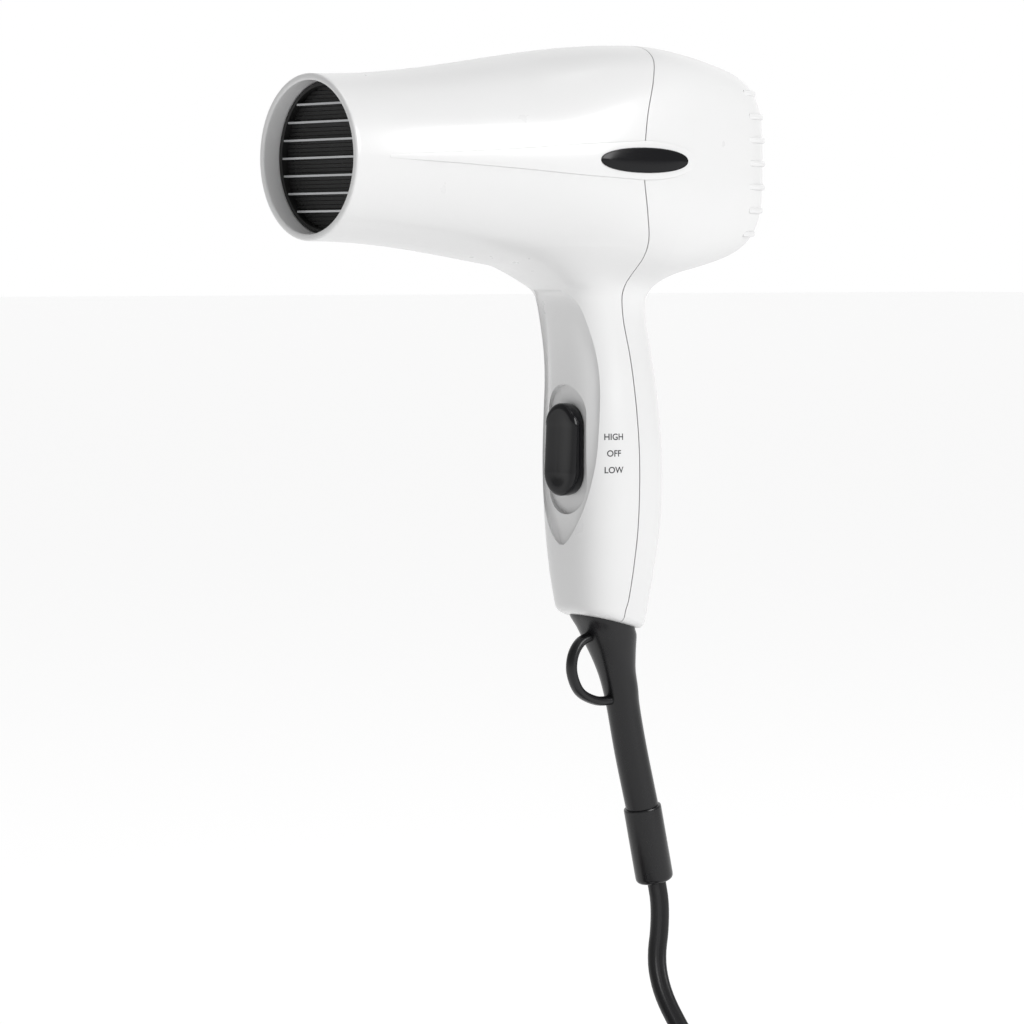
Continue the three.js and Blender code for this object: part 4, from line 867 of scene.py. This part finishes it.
# ---- Strain relief with loop ----
# Soft black vinyl, flared where it leaves the grip and slim below, with a hanging loop moulded on its front.
# The cord runs through it into the grip.
relief_rows = smooth_line([
    [-52.5, 0.2, 0.98, -14.7], [-54.5, 0.4, 0.98, -14.7], [-57.5, 2.2, 0.8, -9], [-61.5, 3.6, 0.57, -3],
    [-66, 5.1, 0.33, 3], [-71, 6.5, 0.14, 9], [-77, 8.1, 0.06, 12], [-83.2, 9.3, 0, 13], [-97, 12.4, 0, 14],
    [-116.4, 17.5, 0, 14.5],
], 1.0)
relief_rings = []
for z, x, share, tilt in relief_rows:
    flat = superellipse(5.3 + share * 4.76, 5.3 + share * 4.34, 2 + 0.6 * share, 64)
    turned = math.radians(tilt)
    relief_rings.append(np.stack([x + flat[:, 0] * math.cos(turned), flat[:, 1], z + flat[:, 0] * math.sin(turned)], 1))
piece("cord_relief", *loft(np.array(relief_rings)), satin_black, "soft_black", replaced=("strain_relief",))
loop_line = smooth_line([
    [0, 0, -56.6], [-3.6, 0, -58.4], [-8.6, 0, -60.2], [-11.7, 0, -64.4], [-12.1, 0, -70.2], [-8.9, 0, -76.2],
    [-2.4, 0, -79.3], [4, 0, -79.6], [8, 0, -79],
], 0.8)
loop_section = superellipse(2, 1.5, 2.3, 24)
piece("hanging_loop", *loft(sweep(loop_line, loop_section, (0, 1, 0))), satin_black, "soft_black")

# ---- Collar ----
# A vinyl sleeve that is clipped over the foot of the relief and holds the cord.
COLLAR_WAY = unit(np.array([5.6, 0, -25.0]))
collar_rings = []
for along, radius in [
    (0, 5.35), (0.02, 5.7), (0.12, 5.92), (0.35, 6.04), (0.8, 6.08), (23.4, 6.12), (24.1, 6.02), (24.6, 5.76),
    (24.9, 5.4), (25, 4.9), (25, 4.4),
]:
    centre = np.array([17.09, 0, -114.79]) + COLLAR_WAY * along
    flat = superellipse(radius, radius, 2, 64)
    collar_rings.append(centre + flat[:, :1] * np.array([-COLLAR_WAY[2], 0, COLLAR_WAY[0]]) + flat[:, 1:] * [0, 1, 0])
piece("cord_collar", *loft(np.array(collar_rings)), satin_black, "soft_black", replaced=("relief_collar",))

# ---- Screws ----
# Two pan-head screws with a cross recess pull the shells together. Their heads sit down their holes.
for name, at in SCREWS.items():
    seat_x = 7.2 if at > 0 else 11.0
    profile = [(-16, 1.25), (0.1, 1.3), (0.1, 2.9), (0.9, 2.9), (1.5, 2.4), (1.9, 1.4), (2.05, 0.3)]
    flat = superellipse(1, 1, 2, 40)
    rings = np.array([
        np.stack([np.full(40, seat_x + x), flat[:, 0] * r, at + flat[:, 1] * r], axis=1) for x, r in profile
    ])
    head = piece(f"{name}_screw", *loft(rings), steel, "zinc_steel", replaced=(f"screw_{name}",))
    cross = [box_points([seat_x + 1, -1.5, at - 0.3], [seat_x + 3, 1.5, at + 0.3])]
    cross.append(box_points([seat_x + 1, -0.3, at - 1.5], [seat_x + 3, 0.3, at + 1.5]))
    cut(head, cross)

# ---- Inner parts ----
# What is behind the walls keeps its CAD shape: mica former, heater wire, motor, fan, switch and rectifier.
mica = moulded("mica_board", (0.42, 0.36, 0.27), 0.55, grain=0.6, depth=0.02, mottle=0.12)
wire = moulded("heater_wire", (0.5, 0.47, 0.44), 0.4, grain=0.3, metallic=1.0)
board = moulded("circuit_board", (0.03, 0.16, 0.07), 0.45, grain=0.8, mottle=0.08)
amber = moulded("amber_plastic", (0.5, 0.26, 0.06), 0.4)
lead = moulded("lead_insulation", (0.55, 0.53, 0.5), 0.5)
black = moulded("black_plastic", (0.022, 0.022, 0.024), 0.45, grain=0.3, depth=0.015)
FINISHES = {
    "mica_sleeve mica_board_vertical mica_board_horizontal": mica,
    "heater_coil_1 heater_coil_2 heater_coil_3 heater_coil_4": wire,
    "thermostat thermal_fuse motor_can motor_shaft": steel,
    "rectifier_board": board,
    "filter_capacitor": amber,
    "lead_supply_live lead_supply_neutral lead_heater_live": lead,
    "fan_duct motor_cap fan lint_screen switch_slider switch_body diode_1 diode_2 diode_3 diode_4 cord_clamp": black,
}
for names, material in FINISHES.items():
    for name in names.split():
        node = bpy.data.objects[name]
        node.data.materials.clear()
        node.data.materials.append(material)

# ---- Floor and light ----
# A pale floor in a pale studio: bright in front of the dryer and behind it, dimmer at the sides, which draws
# its edges. A soft key light stands above and in front.
floor_material = moulded("pale_floor", (0.3, 0.3, 0.3), 0.8, grain=2, depth=0)
floor_shader = floor_material.node_tree.nodes["Principled BSDF"]
floor_shader.inputs["Emission Color"].default_value = (1, 1, 1, 1)
floor_shader.inputs["Emission Strength"].default_value = 0.76
reach = 30
floor_mesh = bpy.data.meshes.new("floor")
floor_mesh.from_pydata(
    [(x, y, (FLOOR_Z - 0.2) * 0.001) for x, y in ((-reach, -reach), (reach, -reach), (reach, reach), (-reach, reach))],
    [], [(0, 1, 2, 3)],
)
floor_mesh.materials.append(floor_material)
floor = bpy.data.objects.new("floor", floor_mesh)
bpy.context.scene.collection.objects.link(floor)

surround = bpy.data.worlds.new("surround")
surround.use_nodes = True
nodes, links = surround.node_tree.nodes, surround.node_tree.links
way, ahead, level = (
    nodes.new("ShaderNodeTexCoord"), nodes.new("ShaderNodeVectorMath"), nodes.new("ShaderNodeFloatCurve"),
)
ahead.operation = "DOT_PRODUCT"
ahead.inputs[1].default_value = (0.6225, 0.7826, 0)
links.new(way.outputs["Generated"], ahead.inputs[0])
halve = nodes.new("ShaderNodeMapRange")
halve.inputs["From Min"].default_value = -1
links.new(ahead.outputs["Value"], halve.inputs["Value"])
links.new(halve.outputs["Result"], level.inputs["Value"])
curve = level.mapping.curves[0]
for place, value in ((0, 0.4), (1, 1)):
    curve.points[place].location = (place, value)
for place, value in ((0.2, 0.36), (0.5, 0.3), (0.8, 0.5), (0.94, 1)):
    curve.points.new(place, value)
level.mapping.update()
links.new(level.outputs["Value"], nodes["Background"].inputs["Strength"])
nodes["Background"].inputs["Color"].default_value = (1, 1, 1, 1)
bpy.context.scene.world = surround
bpy.context.scene.view_settings.view_transform = "Standard"


def softbox(name, place, target, size, power):
    lamp = bpy.data.lights.new(name, "AREA")
    lamp.shape = "RECTANGLE"
    lamp.size, lamp.size_y = size
    lamp.energy = power
    box = bpy.data.objects.new(name, lamp)
    box.location = place
    way = np.array(target) - np.array(place)
    flat = math.hypot(way[0], way[1])
    box.rotation_euler = (math.atan2(flat, -way[2]), 0, math.atan2(way[1], way[0]) - math.pi / 2)
    bpy.context.scene.collection.objects.link(box)


softbox("key", (0.3, -1.3, 0.6), (0, 0, 0.05), (0.8, 0.8), 13)
softbox("top", (-0.1, -0.2, 1.3), (0, 0, 0.03), (0.9, 0.9), 5)
